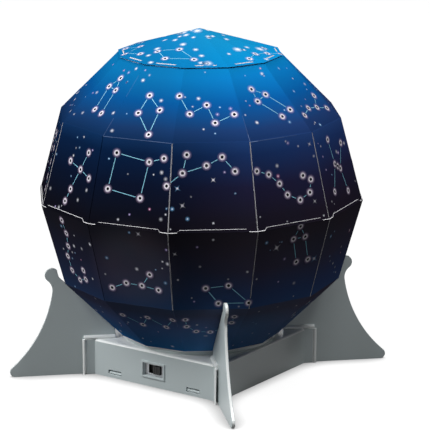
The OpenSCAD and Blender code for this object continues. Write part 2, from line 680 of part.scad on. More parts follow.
module bulb_glass() color([0.85, 0.92, 0.95, 0.35]) translate([0, 0, glass_z]) difference() {
    union() {
        sphere(glass_r);
        translate([0, 0, stem_z]) cylinder(r = neck_r, h = -stem_z);
    }
    sphere(glass_r - glass_t);
    translate([0, 0, stem_z - small]) cylinder(r = neck_r - glass_t, h = -stem_z);
}

module bulb_filament() color(STEEL) translate([0, 0, glass_z]) {
    // flared stem that closes the neck, the two leads and the filament
    translate([0, 0, stem_z]) cylinder(r1 = neck_r - glass_t - 0.05, r2 = 1.5, h = 1.6);
    translate([0, 0, stem_z]) cylinder(r = 1.5, h = 3.4);
    for (s = [-1, 1]) translate([s * 1.1, 0, stem_z + 3]) cylinder(r = 0.2, h = -stem_z - 3);
    translate([-1.3, 0, 0]) rotate([0, 90, 0]) cylinder(r = 0.25, h = 2.6);
}

// ---- wires, held inside the base and the post ----

wire_r = 0.7;
wire_gap = 0.15;                      // a wire ends just short of what it is soldered to
lamp_wire_x = 2.4;
lamp_wire_z = socket_z - insulator_t - wire_gap;
// plus contact to the switch
BATTERY_WIRE = [[lug_x + wire_gap, cell_y, lug_z + contact_t / 2], [36, cell_y, 11], [37, 2, 12],
    [32, -14, 12], [20, -26, 11], [terminal_x, -30, 11], [terminal_x, terminal_y + wire_gap, window_z]];
// switch to the lamp's shell
SWITCH_WIRE = [[0, terminal_y + wire_gap, window_z], [0, -30, 11], [-8, -14, 12], [-5, -3, 13],
    [-lamp_wire_x, 0, 20], [-lamp_wire_x, 0, 50], [-lamp_wire_x, 0, lamp_wire_z]];
// lamp's tip back to the minus contact
RETURN_WIRE = [[lamp_wire_x, 0, lamp_wire_z], [lamp_wire_x, 0, 50], [lamp_wire_x, 0, 20], [8, -3, 13],
    [30, -3, 8], [40, 8, 6], [41, 24, 8], [38, cell_y + cell_pitch, 10],
    [lug_x + wire_gap, cell_y + cell_pitch, lug_z + contact_t / 2]];

module wire_battery() color("red") tube(wire_path(BATTERY_WIRE), wire_r, 8, [0, 0.1, 1]);
module wire_switch() color("white") tube(wire_path(SWITCH_WIRE), wire_r, 8, [1, 0.3, 0]);
module wire_return() color([0.08, 0.08, 0.08]) tube(wire_path(RETURN_WIRE), wire_r, 8, [0.3, 1, 0.1]);

// ---- globe ----

// lays its flat child, drawn from a row's lower edge upwards, on a facet of a gore
module on_facet(row, gore)
    rotate([0, 0, globe_twist + step * (gore + 0.5)])
        translate([0, -apothem(ROWS[row][0][0]), ROWS[row][0][1]])
            rotate([90 - lean(row), 0, 0]) children();

// card of one facet with its pinholes; trim takes the cut off its sides
module facet(row, gore, trim) {
    a = half_edge(ROWS[row][0][0]) - trim;
    b = half_edge(ROWS[row][1][0]) - trim;
    on_facet(row, gore) translate([0, 0, -card_t]) linear_extrude(card_t) difference() {
        polygon([[-a, 0], [a, 0], [b, slant(row)], [-b, slant(row)]]);
        for (p = holes(row, gore)) translate(p) circle(d = pinhole_d, $fn = 8);
    }
}

// tab that folds over the foot of an upper petal
module overlap_tab(gore) {
    a = half_edge(overlap_r) - tab_inset;
    rotate([0, 0, globe_twist + step * (gore + 0.5)])
        translate([0, -apothem(overlap_r), centre_z]) rotate([90 - lean(UPPER_PETAL), 0, 0])
            translate([0, 0, -card_t]) linear_extrude(card_t)
                polygon([[-a, -small], [a, -small], [a - tab_chamfer, tab_h], [-a + tab_chamfer, tab_h]]);
}

// tab of the upper card that runs under the cap and up through its slot
cap_slot_y = 2.6;
module cap_tab(gore) {
    on_facet(CAP, gore) {
        w = cap_slot_w / 2 - 0.4;
        translate([-w, 0.5, -2 * card_t - 0.05]) cube([2 * w, cap_slot_y, card_t]);
        translate([-w, cap_slot_y - 0.1, -2 * card_t - 0.05]) cube([2 * w, card_t, 2 * card_t]);
    }
}

// cuts a half card, which starts at a gore, where it meets the other half
module half_card(first) difference() {
    children();
    rotate([0, 0, globe_twist + step * first]) translate([0.02 - 2 * globe_r, -2 * globe_r, 0])
        cube([2 * globe_r, 4 * globe_r, 4 * globe_r]);
}

module upper_card(first) color(CARD_UPPER) half_card(first)
    for (gore = [first : first + gores / 2 - 1]) {
        facet(UPPER_BAND, gore, 0);
        facet(UPPER_PETAL, gore, seam_gap / 2);
        cap_tab(gore);
    }

module lower_card(first) color(CARD_LOWER) half_card(first)
    for (gore = [first : first + gores / 2 - 1]) {
        facet(LOWER_BAND, gore, 0);
        facet(LOWER_PETAL, gore, seam_gap / 2);
        overlap_tab(gore);
    }

module upper_card_1() upper_card(0);
module upper_card_2() upper_card(gores / 2);
module lower_card_1() lower_card(0);
module lower_card_2() lower_card(gores / 2);

module globe_cap() color(CARD_CAP) difference() {
    rim = ROWS[CAP][0];
    rotate([0, 0, globe_twist - 90]) translate([0, 0, rim[1]]) difference() {
        rise = ROWS[CAP][1][1] - rim[1];
        cylinder(r1 = rim[0], r2 = 0, h = rise, $fn = gores);
        // the same pyramid, one thickness of card lower and carried past the rim
        translate([0, 0, -1 - card_t / sin(lean(CAP))])
            cylinder(r1 = rim[0] * (1 + 1 / rise), r2 = 0, h = rise + 1, $fn = gores);
    }
    for (gore = [0 : gores - 1]) on_facet(CAP, gore) translate([0, 0, -2 * card_t]) {
        translate([-cap_slot_w / 2, cap_slot_y - 0.2, 0]) cube([cap_slot_w, card_t + 0.3, 3 * card_t]);
        for (p = holes(CAP, gore)) translate(p) cylinder(d = pinhole_d, h = 3 * card_t, $fn = 8);
    }
}

// flat ring that closes the bottom and turns on the ledge
module globe_foot() color(CARD_LOWER)
    rotate([0, 0, globe_twist - 90]) translate([0, 0, seat_z]) linear_extrude(card_t) difference() {
        circle(foot_r - 0.4, $fn = 12);
        circle(spigot_r + run_gap, $fn = 96);
    }

base_housing();
globe_seat();
bottom_cover();
battery_door();
door_screws();
leg(LEGS[0][1]);  // leg_front
leg(LEGS[1][1]);  // leg_right
leg(LEGS[2][1]);  // leg_rear
leg(LEGS[3][1]);  // leg_left
switch_frame();
switch_body();
switch_slider();
switch_terminals();
battery_front();
battery_rear();
contact_link();
contact_pair();
contact_springs();
lamp_post();
post_screws();
socket_insulator();
lamp_socket();
bulb_cap();
bulb_glass();
bulb_filament();
wire_battery();
wire_switch();
wire_return();
globe_foot();
lower_card_1();
lower_card_2();
upper_card_1();
upper_card_2();
globe_cap();
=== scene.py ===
# Looks of the star-globe projector: a folded-card globe with a printed night sky,
# over a lamp on a moulded battery base with four cradle legs.
# Metres, +Z up. The origin lies on the table under the middle of the base, and the
# switch faces -Y. Azimuths are counted from -Y towards +X.
import math
import random

import bmesh
import bpy
from mathutils import Matrix, Vector


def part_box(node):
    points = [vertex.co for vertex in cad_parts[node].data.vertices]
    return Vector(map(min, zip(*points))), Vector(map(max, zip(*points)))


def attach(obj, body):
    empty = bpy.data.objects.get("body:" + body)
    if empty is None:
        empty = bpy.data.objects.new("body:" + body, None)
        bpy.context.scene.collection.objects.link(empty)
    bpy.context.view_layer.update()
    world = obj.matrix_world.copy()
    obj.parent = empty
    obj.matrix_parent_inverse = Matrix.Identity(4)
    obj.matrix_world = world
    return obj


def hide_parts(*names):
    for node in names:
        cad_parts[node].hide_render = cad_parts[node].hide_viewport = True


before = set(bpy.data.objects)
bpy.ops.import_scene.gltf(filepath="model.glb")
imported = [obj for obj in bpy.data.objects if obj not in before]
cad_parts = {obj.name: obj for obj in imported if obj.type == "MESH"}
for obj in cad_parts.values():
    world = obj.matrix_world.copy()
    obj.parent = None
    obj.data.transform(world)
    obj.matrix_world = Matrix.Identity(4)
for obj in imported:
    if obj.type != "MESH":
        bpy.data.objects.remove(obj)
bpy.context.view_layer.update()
mm = 0.001


def srgb(red, green, blue):
    """A colour told in 0-255 screen values, as the linear colour that a socket takes."""
    linear = [(v / 255 / 12.92 if v < 11 else ((v / 255 + 0.055) / 1.055) ** 2.4) for v in (red, green, blue)]
    return (*linear, 1.0)


# ---- camera ----
# The photographer stood off the front right corner of the base, a little above the
# middle of the globe, with a long lens. The picture is 430 by 442 pixels.
photo_width = 430
photo_height = 442
focal_px = 2447
globe_at_px = (199.7, 192.2)
camera_distance = 1.5
camera_azimuth = math.radians(35.5)
camera_elevation = math.radians(13.9)
sensor_mm = 36
globe_radius = 100 * mm
globe_middle = Vector((0, 0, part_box("lower_card_1")[0].z + globe_radius * math.sin(math.radians(60))))

camera = bpy.data.objects.new("camera", bpy.data.cameras.new("camera"))
bpy.context.scene.collection.objects.link(camera)
bpy.context.scene.camera = camera
towards_camera = Vector((
    math.cos(camera_elevation) * math.sin(camera_azimuth),
    -math.cos(camera_elevation) * math.cos(camera_azimuth),
    math.sin(camera_elevation),
))
camera.location = globe_middle + camera_distance * towards_camera
camera.rotation_mode = "QUATERNION"
camera.rotation_quaternion = towards_camera.to_track_quat("Z", "Y")
camera.data.sensor_fit = "HORIZONTAL"
camera.data.sensor_width = sensor_mm
camera.data.lens = sensor_mm * focal_px / photo_width
camera.data.shift_x = (photo_width / 2 - globe_at_px[0]) / photo_width
camera.data.shift_y = (globe_at_px[1] - photo_height / 2) / photo_width
camera.data.clip_start = 0.05
camera.data.clip_end = 20

# ---- studio ----
# A white sweep, a large soft lamp at the front left and a smaller one overhead. The
# white is what the camera, glossy and see-through surfaces see; the light on the object
# is plainer.
bpy.context.scene.view_settings.view_transform = "Standard"
lamp_distance = 2.0
room_light = 0.05
floor_size = 6
floor_bounce = 0.08
floor_pale = 0.12
floor_glow = 0.95
contact_reach = 16 * mm
contact_tone = 0.22
contact_range = (0.3, 0.86)
lamps_aim = Vector((0, 0, 0.1))


def soft_lamp(name, azimuth, elevation, size, watts):
    """A round soft lamp that looks at the object from a direction told in degrees."""
    turn, rise = math.radians(azimuth), math.radians(elevation)
    towards = Vector((math.cos(rise) * math.sin(turn), -math.cos(rise) * math.cos(turn), math.sin(rise)))
    lamp = bpy.data.objects.new(name, bpy.data.lights.new(name, "AREA"))
    bpy.context.scene.collection.objects.link(lamp)
    lamp.location = lamps_aim + lamp_distance * towards
    lamp.rotation_mode = "QUATERNION"
    lamp.rotation_quaternion = towards.to_track_quat("Z", "Y")
    lamp.data.shape = "DISK"
    lamp.data.size = size
    lamp.data.energy = watts


soft_lamp("left_lamp", -28, 42, 1.3, 37)
soft_lamp("top_lamp", 95, 68, 0.9, 24)


def seen_directly(nodes, links):
    """1 on camera, glossy and transmission rays, and 0 on the rest."""
    path = nodes.new("ShaderNodeLightPath")
    glossy = nodes.new("ShaderNodeMath")
    glossy.operation = "MAXIMUM"
    links.new(path.outputs["Is Camera Ray"], glossy.inputs[0])
    links.new(path.outputs["Is Glossy Ray"], glossy.inputs[1])
    through = nodes.new("ShaderNodeMath")
    through.operation = "MAXIMUM"
    links.new(glossy.outputs[0], through.inputs[0])
    links.new(path.outputs["Is Transmission Ray"], through.inputs[1])
    return through.outputs[0]


world = bpy.data.worlds.new("studio")
bpy.context.scene.world = world
world.use_nodes = True
nodes, links = world.node_tree.nodes, world.node_tree.links
nodes.clear()
room = nodes.new("ShaderNodeBackground")
room.inputs["Color"].default_value = (1, 1, 1, 1)
room.inputs["Strength"].default_value = room_light
white = nodes.new("ShaderNodeBackground")
white.inputs["Color"].default_value = (1, 1, 1, 1)
white.inputs["Strength"].default_value = 1
choice = nodes.new("ShaderNodeMixShader")
links.new(seen_directly(nodes, links), choice.inputs["Fac"])
links.new(room.outputs[0], choice.inputs[1])
links.new(white.outputs[0], choice.inputs[2])
links.new(choice.outputs[0], nodes.new("ShaderNodeOutputWorld").inputs["Surface"])

# the sweep: white with a narrow soft shade where the object stands, over the real shadow
bpy.ops.object.select_all(action="DESELECT")
bpy.ops.mesh.primitive_plane_add(size=floor_size)
floor = bpy.context.object
floor.name = "floor"
floor_material = bpy.data.materials.new("white_sweep")
floor_material.use_nodes = True
nodes, links = floor_material.node_tree.nodes, floor_material.node_tree.links
nodes.clear()
grey = nodes.new("ShaderNodeBsdfDiffuse")
grey.inputs["Color"].default_value = (floor_bounce, floor_bounce, floor_bounce, 1)
pale = nodes.new("ShaderNodeBsdfDiffuse")
pale.inputs["Color"].default_value = (floor_pale, floor_pale, floor_pale, 1)
contact = nodes.new("ShaderNodeAmbientOcclusion")
contact.inputs["Distance"].default_value = contact_reach
shade = nodes.new("ShaderNodeValToRGB")
shade.color_ramp.elements[0].position = contact_range[0]
shade.color_ramp.elements[0].color = (contact_tone, contact_tone, contact_tone, 1)
shade.color_ramp.elements[1].position = contact_range[1]
shade.color_ramp.elements[1].color = (1, 1, 1, 1)
links.new(contact.outputs["AO"], shade.inputs["Fac"])
glow = nodes.new("ShaderNodeEmission")
glow.inputs["Strength"].default_value = floor_glow
links.new(shade.outputs["Color"], glow.inputs["Color"])
lit = nodes.new("ShaderNodeAddShader")
links.new(pale.outputs[0], lit.inputs[0])
links.new(glow.outputs[0], lit.inputs[1])
choice = nodes.new("ShaderNodeMixShader")
links.new(seen_directly(nodes, links), choice.inputs["Fac"])
links.new(grey.outputs[0], choice.inputs[1])
links.new(lit.outputs[0], choice.inputs[2])
links.new(choice.outputs[0], nodes.new("ShaderNodeOutputMaterial").inputs["Surface"])
floor.data.materials.append(floor_material)

# ---- base housing ----
# Square shell of warm grey ABS with a slotted leg socket on each corner, moulded in
# one shot. Its edges are broken by the tool and its faces have a fine satin grain.
grey_light = srgb(194, 205, 207)
grey_dark = srgb(187, 198, 199)


def moulded_plastic(name, light, dark, roughness):
    """Satin moulded plastic: two close tones in soft patches and a fine grain."""
    material = bpy.data.materials.new(name)
    material.use_nodes = True
    nodes, links = material.node_tree.nodes, material.node_tree.links
    surface = nodes["Principled BSDF"]
    surface.inputs["Roughness"].default_value = roughness
    surface.inputs["Specular IOR Level"].default_value = 0.5
    place = nodes.new("ShaderNodeTexCoord")
    patches = nodes.new("ShaderNodeTexNoise")
    patches.inputs["Scale"].default_value = 22
    patches.inputs["Detail"].default_value = 3
    links.new(place.outputs["Object"], patches.inputs["Vector"])
    tone = nodes.new("ShaderNodeMix")
    tone.data_type = "RGBA"
    tone.inputs["A"].default_value = light
    tone.inputs["B"].default_value = dark
    links.new(patches.outputs["Fac"], tone.inputs["Factor"])
    links.new(tone.outputs["Result"], surface.inputs["Base Color"])
    grain = nodes.new("ShaderNodeTexNoise")
    grain.inputs["Scale"].default_value = 1800
    grain.inputs["Detail"].default_value = 2
    links.new(place.outputs["Object"], grain.inputs["Vector"])
    bump = nodes.new("ShaderNodeBump")
    bump.inputs["Strength"].default_value = 0.06
    bump.inputs["Distance"].default_value = 0.1 * mm
    links.new(grain.outputs["Fac"], bump.inputs["Height"])
    links.new(bump.outputs["Normal"], surface.inputs["Normal"])
    return material


# corners closer than this are one, slivers thinner than this go, and faces that turn
# less than this are one flat
weld_reach = 0.002 * mm
thin_sliver = 0.01 * mm
flat_turn = math.radians(0.5)
many_corners = 60
rests_below = 0.1 * mm


def moulded_copy(node, name, edge, angle=35, hollows=None):
    """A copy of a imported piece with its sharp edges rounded, and hollows cut into it."""
    piece = bpy.data.objects.new(name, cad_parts[node].data.copy())
    bpy.context.scene.collection.objects.link(piece)
    bpy.ops.object.select_all(action="DESELECT")
    piece.select_set(True)
    bpy.context.view_layer.objects.active = piece
    bpy.ops.object.mode_set(mode="EDIT")
    bpy.ops.mesh.select_all(action="SELECT")
    bpy.ops.mesh.remove_doubles(threshold=weld_reach)
    bpy.ops.mesh.dissolve_degenerate(threshold=thin_sliver)
    bpy.ops.object.mode_set(mode="OBJECT")
    if hollows:
        cut = piece.modifiers.new("hollows", "BOOLEAN")
        cut.object = hollows
        bpy.ops.object.modifier_apply(modifier=cut.name)
        bpy.data.objects.remove(hollows)
    bpy.ops.object.mode_set(mode="EDIT")
    bpy.ops.mesh.select_all(action="SELECT")
    bpy.ops.mesh.dissolve_limited(angle_limit=flat_turn)
    bpy.ops.mesh.select_mode(type="FACE")
    bpy.ops.mesh.select_all(action="DESELECT")
    bpy.ops.object.mode_set(mode="OBJECT")
    # wide faces with many corners are split into triangles, so that the rounding can't fold them
    for face in piece.data.polygons:
        face.select = len(face.vertices) > many_corners
    bpy.ops.object.mode_set(mode="EDIT")
    bpy.ops.mesh.quads_convert_to_tris(quad_method="BEAUTY", ngon_method="BEAUTY")
    bpy.ops.mesh.select_mode(type="VERT")
    bpy.ops.object.mode_set(mode="OBJECT")
    # every sharp edge is rounded but those that rest on the table
    shapes = bmesh.new()
    shapes.from_mesh(piece.data)
    sharp = [
        line.index for line in shapes.edges
        if len(line.link_faces) == 2 and line.calc_face_angle() > math.radians(angle)
        and max(corner.co.z for corner in line.verts) > rests_below
    ]
    shapes.free()
    weight = piece.data.attributes.new("bevel_weight_edge", "FLOAT", "EDGE")
    for index in sharp:
        weight.data[index].value = 1
    bevel = piece.modifiers.new("rounded_edges", "BEVEL")
    bevel.width = edge
    bevel.segments = 2
    bevel.limit_method = "WEIGHT"
    bevel.use_clamp_overlap = False
    bpy.ops.object.modifier_apply(modifier=bevel.name)
    bpy.ops.object.shade_smooth_by_angle(angle=math.radians(angle))
    flat = piece.modifiers.new("flat_faces", "WEIGHTED_NORMAL")
    flat.keep_sharp = True
    bpy.ops.object.modifier_apply(modifier=flat.name)
    piece.data.materials.clear()
    return piece


grey_plastic = moulded_plastic("grey_plastic", grey_light, grey_dark, 0.34)
# glossier plastic whose near-white colour is a painted highlight, for tops, edges, beads and ribs
gloss_and_painted_highlight_plastic = moulded_plastic("gloss_and_painted_highlight_plastic", srgb(246, 250, 249), srgb(239, 243, 242), 0.2)
housing_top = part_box("base_housing")[1].z
socket_end = 73.7 * mm
mouth_from = 1 * mm
mouth_width = 1.35 * mm
mouth_depth = 5 * mm
mouth_height = housing_top - 1.2 * mm
mouth_overshoot = 0.1 * mm
bead_size = 2.4 * mm
top_rounding = 2 * mm
faces_up = 0.2

# each socket is hollow beside its leg, behind a beaded lip
bpy.ops.object.select_all(action="DESELECT")
mouths = []
for corner in (-45, 45, 135, 225):
    turn = math.radians(corner)
    outwards = Vector((math.sin(turn), -math.cos(turn), 0))
    along = Vector((math.cos(turn), math.sin(turn), 0))
    for side in (-1, 1):
        middle = outwards * (socket_end - mouth_depth / 2 + mouth_overshoot)
        middle += along * side * (mouth_from + mouth_width / 2)
        middle.z = mouth_height / 2 - mouth_overshoot
        bpy.ops.mesh.primitive_cube_add(
            size=1, location=middle, rotation=(0, 0, turn),
            scale=(mouth_width, mouth_depth, mouth_height + 2 * mouth_overshoot))
        mouths.append(bpy.context.object)
for mouth in mouths:
    mouth.select_set(True)
bpy.ops.object.join()
housing = moulded_copy("base_housing", "housing", 0.25 * mm, hollows=bpy.context.object)
housing.data.materials.append(grey_plastic)
housing.data.materials.append(gloss_and_painted_highlight_plastic)
# the top, its rounded edge and the beads are glossier, and their lighter colour is a painted highlight
for face in housing.data.polygons:
    outside = face.normal.z > faces_up and face.center.z > housing_top - top_rounding
    beaded = math.hypot(face.center.x, face.center.y) > socket_end - bead_size
    if outside or beaded:
        face.material_index = 1
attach(housing, "base")
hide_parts("base_housing")

# ---- globe seat ----
# Ring of the same grey plastic, pegged to the top of the base. The globe's foot turns
# on its ledge, round its spigot.
seat = moulded_copy("globe_seat", "seat_ring", 0.3 * mm)
seat.data.materials.append(grey_plastic)
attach(seat, "base")
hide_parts("globe_seat")

# ---- bottom cover ----
# Second grey moulding, snapped into the base by four hooks whose faces show in the
# slots of the side walls. It carries the battery tub.
cover = moulded_copy("bottom_cover", "cover", 0.15 * mm)
cover.data.materials.append(grey_plastic)
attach(cover, "base")
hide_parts("bottom_cover")

# ---- battery door ----
# Flat door with finger grooves, held by two small zinc-plated screws.
door = moulded_copy("battery_door", "door", 0.15 * mm)
door.data.materials.append(grey_plastic)
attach(door, "door")
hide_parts("battery_door")


def turned_metal(name, colour, roughness, scratch_scale):
    """Plated or bare metal with fine drawing marks along X."""
    material = bpy.data.materials.new(name)
    material.use_nodes = True
    nodes, links = material.node_tree.nodes, material.node_tree.links
    surface = nodes["Principled BSDF"]
    surface.inputs["Metallic"].default_value = 1
    surface.inputs["Base Color"].default_value = colour
    place = nodes.new("ShaderNodeTexCoord")
    along = nodes.new("ShaderNodeMapping")
    along.inputs["Scale"].default_value = (0.06, 1, 1)
    links.new(place.outputs["Object"], along.inputs["Vector"])
    marks = nodes.new("ShaderNodeTexNoise")
    marks.inputs["Scale"].default_value = scratch_scale
    links.new(along.outputs["Vector"], marks.inputs["Vector"])
    spread = nodes.new("ShaderNodeMapRange")
    spread.inputs["To Min"].default_value = roughness - 0.08
    spread.inputs["To Max"].default_value = roughness + 0.08
    links.new(marks.outputs["Fac"], spread.inputs["Value"])
    links.new(spread.outputs["Result"], surface.inputs["Roughness"])
    bump = nodes.new("ShaderNodeBump")
    bump.inputs["Strength"].default_value = 0.1
    bump.inputs["Distance"].default_value = 0.02 * mm
    links.new(marks.outputs["Fac"], bump.inputs["Height"])
    links.new(bump.outputs["Normal"], surface.inputs["Normal"])
    return material


def dress(node, material):
    """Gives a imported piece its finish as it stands."""
    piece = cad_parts[node]
    piece.data.materials.clear()
    piece.data.materials.append(material)


screw_steel = turned_metal("screw_steel", srgb(196, 198, 202), 0.3, 2500)
dress("door_screws", screw_steel)

# ---- legs ----
# Four 2 mm plates of the grey plastic. Each plugs into a corner socket down to its
# stop ribs, spreads the base to a foot tip, and rises beside the globe to a knob. The
# narrow edges and the ribs are glossier, and their lighter colour is a painted highlight.
rib_height = 2.2 * mm
off_plate_from = 1.1 * mm
narrow_edge = 0.35
for node in ("leg_front", "leg_right", "leg_rear", "leg_left"):
    leg = moulded_copy(node, node + "_plate", 0.3 * mm)
    leg.data.materials.append(grey_plastic)
    leg.data.materials.append(gloss_and_painted_highlight_plastic)
    low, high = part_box(node)
    plate_across = Vector((-(low.y + high.y), low.x + high.x, 0)).normalized()
    for face in leg.data.polygons:
        off_plate = abs(face.center.dot(plate_across)) > off_plate_from
        rib = off_plate and housing_top < face.center.z < housing_top + rib_height
        if rib or abs(face.normal.dot(plate_across)) < narrow_edge:
            face.material_index = 1
    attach(leg, "base")
    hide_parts(node)

# ---- switch ----
# Slide switch behind the raised window: a pressed plate of nickelled steel with a slot,
# a black body behind it, and a black ribbed knob that slides in the slot.
plated_steel = turned_metal("plated_steel", srgb(170, 172, 175), 0.5, 1800)
black_plastic = moulded_plastic("black_plastic", srgb(14, 14, 15), srgb(10, 10, 11), 0.45)
contact_brass = turned_metal("contact_brass", srgb(214, 178, 104), 0.25, 2200)
plate = moulded_copy("switch_frame", "switch_plate", 0.08 * mm)
plate.data.materials.append(plated_steel)
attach(plate, "base")
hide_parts("switch_frame")
knob = moulded_copy("switch_slider", "switch_knob", 0.1 * mm)
knob.data.materials.append(black_plastic)
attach(knob, "slider")
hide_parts("switch_slider")
dress("switch_body", black_plastic)
dress("switch_terminals", contact_brass)

# ---- cells and contacts ----
# Two AA cells in a shrink sleeve, dark with a warm band at the plus end. The contacts
# are nickelled spring steel with a dimple for each plus and a coil for each minus.
sleeve_dark = srgb(34, 35, 38)
sleeve_band = srgb(196, 132, 70)
band_length = 12 * mm


def cell_sleeve(name, plus_end, side):
    """Printed sleeve of a cell: dark, with a band beside the plus end."""
    material = bpy.data.materials.new(name)
    material.use_nodes = True
    nodes, links = material.node_tree.nodes, material.node_tree.links
    surface = nodes["Principled BSDF"]
    surface.inputs["Roughness"].default_value = 0.28
    surface.inputs["Metallic"].default_value = 0.3
    place = nodes.new("ShaderNodeTexCoord")
    split = nodes.new("ShaderNodeSeparateXYZ")
    links.new(place.outputs["Object"], split.inputs["Vector"])
    along = nodes.new("ShaderNodeMapRange")
    along.inputs["From Min"].default_value = plus_end - side * (band_length + 0.2 * mm)
    along.inputs["From Max"].default_value = plus_end - side * band_length
    links.new(split.outputs["X"], along.inputs["Value"])
    tone = nodes.new("ShaderNodeMix")
    tone.data_type = "RGBA"
    tone.inputs["A"].default_value = sleeve_dark
    tone.inputs["B"].default_value = sleeve_band
    links.new(along.outputs["Result"], tone.inputs["Factor"])
    links.new(tone.outputs["Result"], surface.inputs["Base Color"])
    return material


dress("battery_front", cell_sleeve("front_sleeve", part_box("battery_front")[1].x, 1))
dress("battery_rear", cell_sleeve("rear_sleeve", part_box("battery_rear")[0].x, -1))
for node in ("contact_link", "contact_pair", "contact_springs"):
    dress(node, plated_steel)

# ---- lamp ----
# Grey post screwed to the base, with a brass socket in an insulating disc on top and a
# small clear screw-base bulb at the middle of the globe.
post = moulded_copy("lamp_post", "post", 0.3 * mm)
post.data.materials.append(grey_plastic)
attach(post, "base")
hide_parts("lamp_post")
dress("post_screws", screw_steel)
dress("socket_insulator", black_plastic)
dress("lamp_socket", contact_brass)
dress("bulb_cap", contact_brass)
dress("bulb_filament", screw_steel)
clear_glass = bpy.data.materials.new("lamp_glass")
clear_glass.use_nodes = True
glass_surface = clear_glass.node_tree.nodes["Principled BSDF"]
glass_surface.inputs["Base Color"].default_value = (0.95, 0.97, 0.98, 1)
glass_surface.inputs["Roughness"].default_value = 0.02
glass_surface.inputs["IOR"].default_value = 1.5
glass_surface.inputs["Transmission Weight"].default_value = 1
dress("bulb_glass", clear_glass)

# ---- wires ----
# Three stranded leads in soft PVC, run inside the base and up the bore of the post.


def wire_cover(name, colour):
    """Soft insulation with a faint waxy unevenness."""
    material = bpy.data.materials.new(name)
    material.use_nodes = True
    nodes, links = material.node_tree.nodes, material.node_tree.links
    surface = nodes["Principled BSDF"]
    surface.inputs["Base Color"].default_value = colour
    place = nodes.new("ShaderNodeTexCoord")
    waxy = nodes.new("ShaderNodeTexNoise")
    waxy.inputs["Scale"].default_value = 400
    links.new(place.outputs["Object"], waxy.inputs["Vector"])
    spread = nodes.new("ShaderNodeMapRange")
    spread.inputs["To Min"].default_value = 0.35
    spread.inputs["To Max"].default_value = 0.55
    links.new(waxy.outputs["Fac"], spread.inputs["Value"])
    links.new(spread.outputs["Result"], surface.inputs["Roughness"])
    return material


dress("wire_battery", wire_cover("red_wire", srgb(196, 24, 22)))
dress("wire_switch", wire_cover("white_wire", srgb(228, 228, 222)))
dress("wire_return", wire_cover("black_wire", srgb(24, 24, 24)))

# ---- globe cards ----
# Printed card 0.6 mm thick, cut and folded flat into twelve gores. The print is a sky
# that fades from cyan at the cap to near black; the cut edges show the bare board.
gores = 12
gore_turn = math.radians(360 / gores)
globe_twist = math.radians(-5)
card_thickness = 0.6 * mm
seam_gap = 0.5 * mm
pinhole_radius = 0.65 * mm
foot_radius = globe_radius * math.cos(math.radians(60))
cap_rim_z = globe_middle.z + globe_radius * math.sin(math.radians(60))
cap_peak_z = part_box("globe_cap")[1].z
overlap_radius = globe_radius + (card_thickness + 0.05 * mm) / math.cos(gore_turn / 2) ** 2
cut_edge = 0.04 * mm
tab_edge = 0.18 * mm
tab_reach = 3 * mm
tab_foot = 0.3 * mm
sliver_width = 0.02 * mm
hole_wall_area = 0.3 * mm * mm
hole_off_seam = 1.4 * mm
facing_slack = math.radians(3)


def ring(latitude):
    """Corner radius and height of the globe's ring at a latitude."""
    turn = math.radians(latitude)
    return (globe_radius * math.cos(turn), globe_middle.z + globe_radius * math.sin(turn))


UPPER_BAND, UPPER_PETAL, LOWER_PETAL, LOWER_BAND, CAP = range(5)
ROWS = [
    (ring(30), ring(60)),
    (ring(0), ring(30)),
    (ring(-30), (overlap_radius, globe_middle.z)),
    (ring(-60), ring(-30)),
    ((foot_radius + card_thickness, cap_rim_z + 0.85 * card_thickness), (0, cap_peak_z)),
]


def apothem(radius):
    return radius * math.cos(gore_turn / 2)


def half_edge(radius):
    return radius * math.sin(gore_turn / 2)


def slant(row):
    (low_r, low_z), (high_r, high_z) = ROWS[row]
    return math.hypot(apothem(low_r) - apothem(high_r), high_z - low_z)


def lean(row):
    (low_r, low_z), (high_r, high_z) = ROWS[row]
    return math.atan2(apothem(low_r) - apothem(high_r), high_z - low_z)


def half_at(row, y):
    """Half width of a facet at a distance up its slant."""
    low, high = half_edge(ROWS[row][0][0]), half_edge(ROWS[row][1][0])
    return low + (high - low) * y / slant(row)


# height, the colour of the print there on the darker side of the sky, and on the paler side, where the extra
# paleness is painted light
SKY = [
    (27 * mm, (44, 102, 154), (98, 136, 184)),
    (44 * mm, (72, 99, 145), (110, 132, 172)),
    (57 * mm, (72, 78, 104), (104, 106, 128)),
    (62 * mm, (68, 76, 102), (98, 104, 130)),
    (62.6 * mm, (36, 54, 84), (62, 92, 140)),
    (70 * mm, (38, 49, 74), (60, 84, 130)),
    (87 * mm, (34, 38, 56), (68, 73, 96)),
    (105 * mm, (32, 32, 40), (64, 66, 78)),
    (112 * mm, (30, 30, 37), (62, 63, 74)),
    (112.6 * mm, (16, 16, 23), (34, 33, 45)),
    (120 * mm, (18, 19, 30), (37, 36, 51)),
    (137 * mm, (15, 23, 44), (40, 41, 72)),
    (155 * mm, (13, 34, 66), (38, 64, 118)),
    (162.2 * mm, (19, 50, 90), (47, 80, 140)),
    (162.6 * mm, (17, 43, 78), (32, 56, 103)),
    (168 * mm, (22, 54, 96), (38, 66, 118)),
    (181 * mm, (8, 82, 142), (16, 100, 172)),
    (194 * mm, (11, 113, 168), (17, 140, 214)),
    (202 * mm, (10, 115, 168), (15, 150, 208)),
    (214 * mm, (20, 122, 176), (30, 164, 206)),
]
sky_bottom = SKY[0][0]
sky_top = SKY[-1][0]
# the print grows paler towards this side as painted light, where the lamps light the globe less
painted_light_side = math.radians(130)
painted_light_from = -0.4
painted_light_to = 0.6
# a purplish patch on the lower front petals, partly print and partly a painted reflection of the pale floor
haze_and_reflection_place = (17 * mm, -92 * mm, 86 * mm)
haze_and_reflection_size = 36 * mm
haze_and_reflection_colour = srgb(46, 38, 40)
cloud_size = 14
warm_cloud = (1.18, 0.95, 1.0, 1)
cool_cloud = (0.82, 1.0, 1.08, 1)


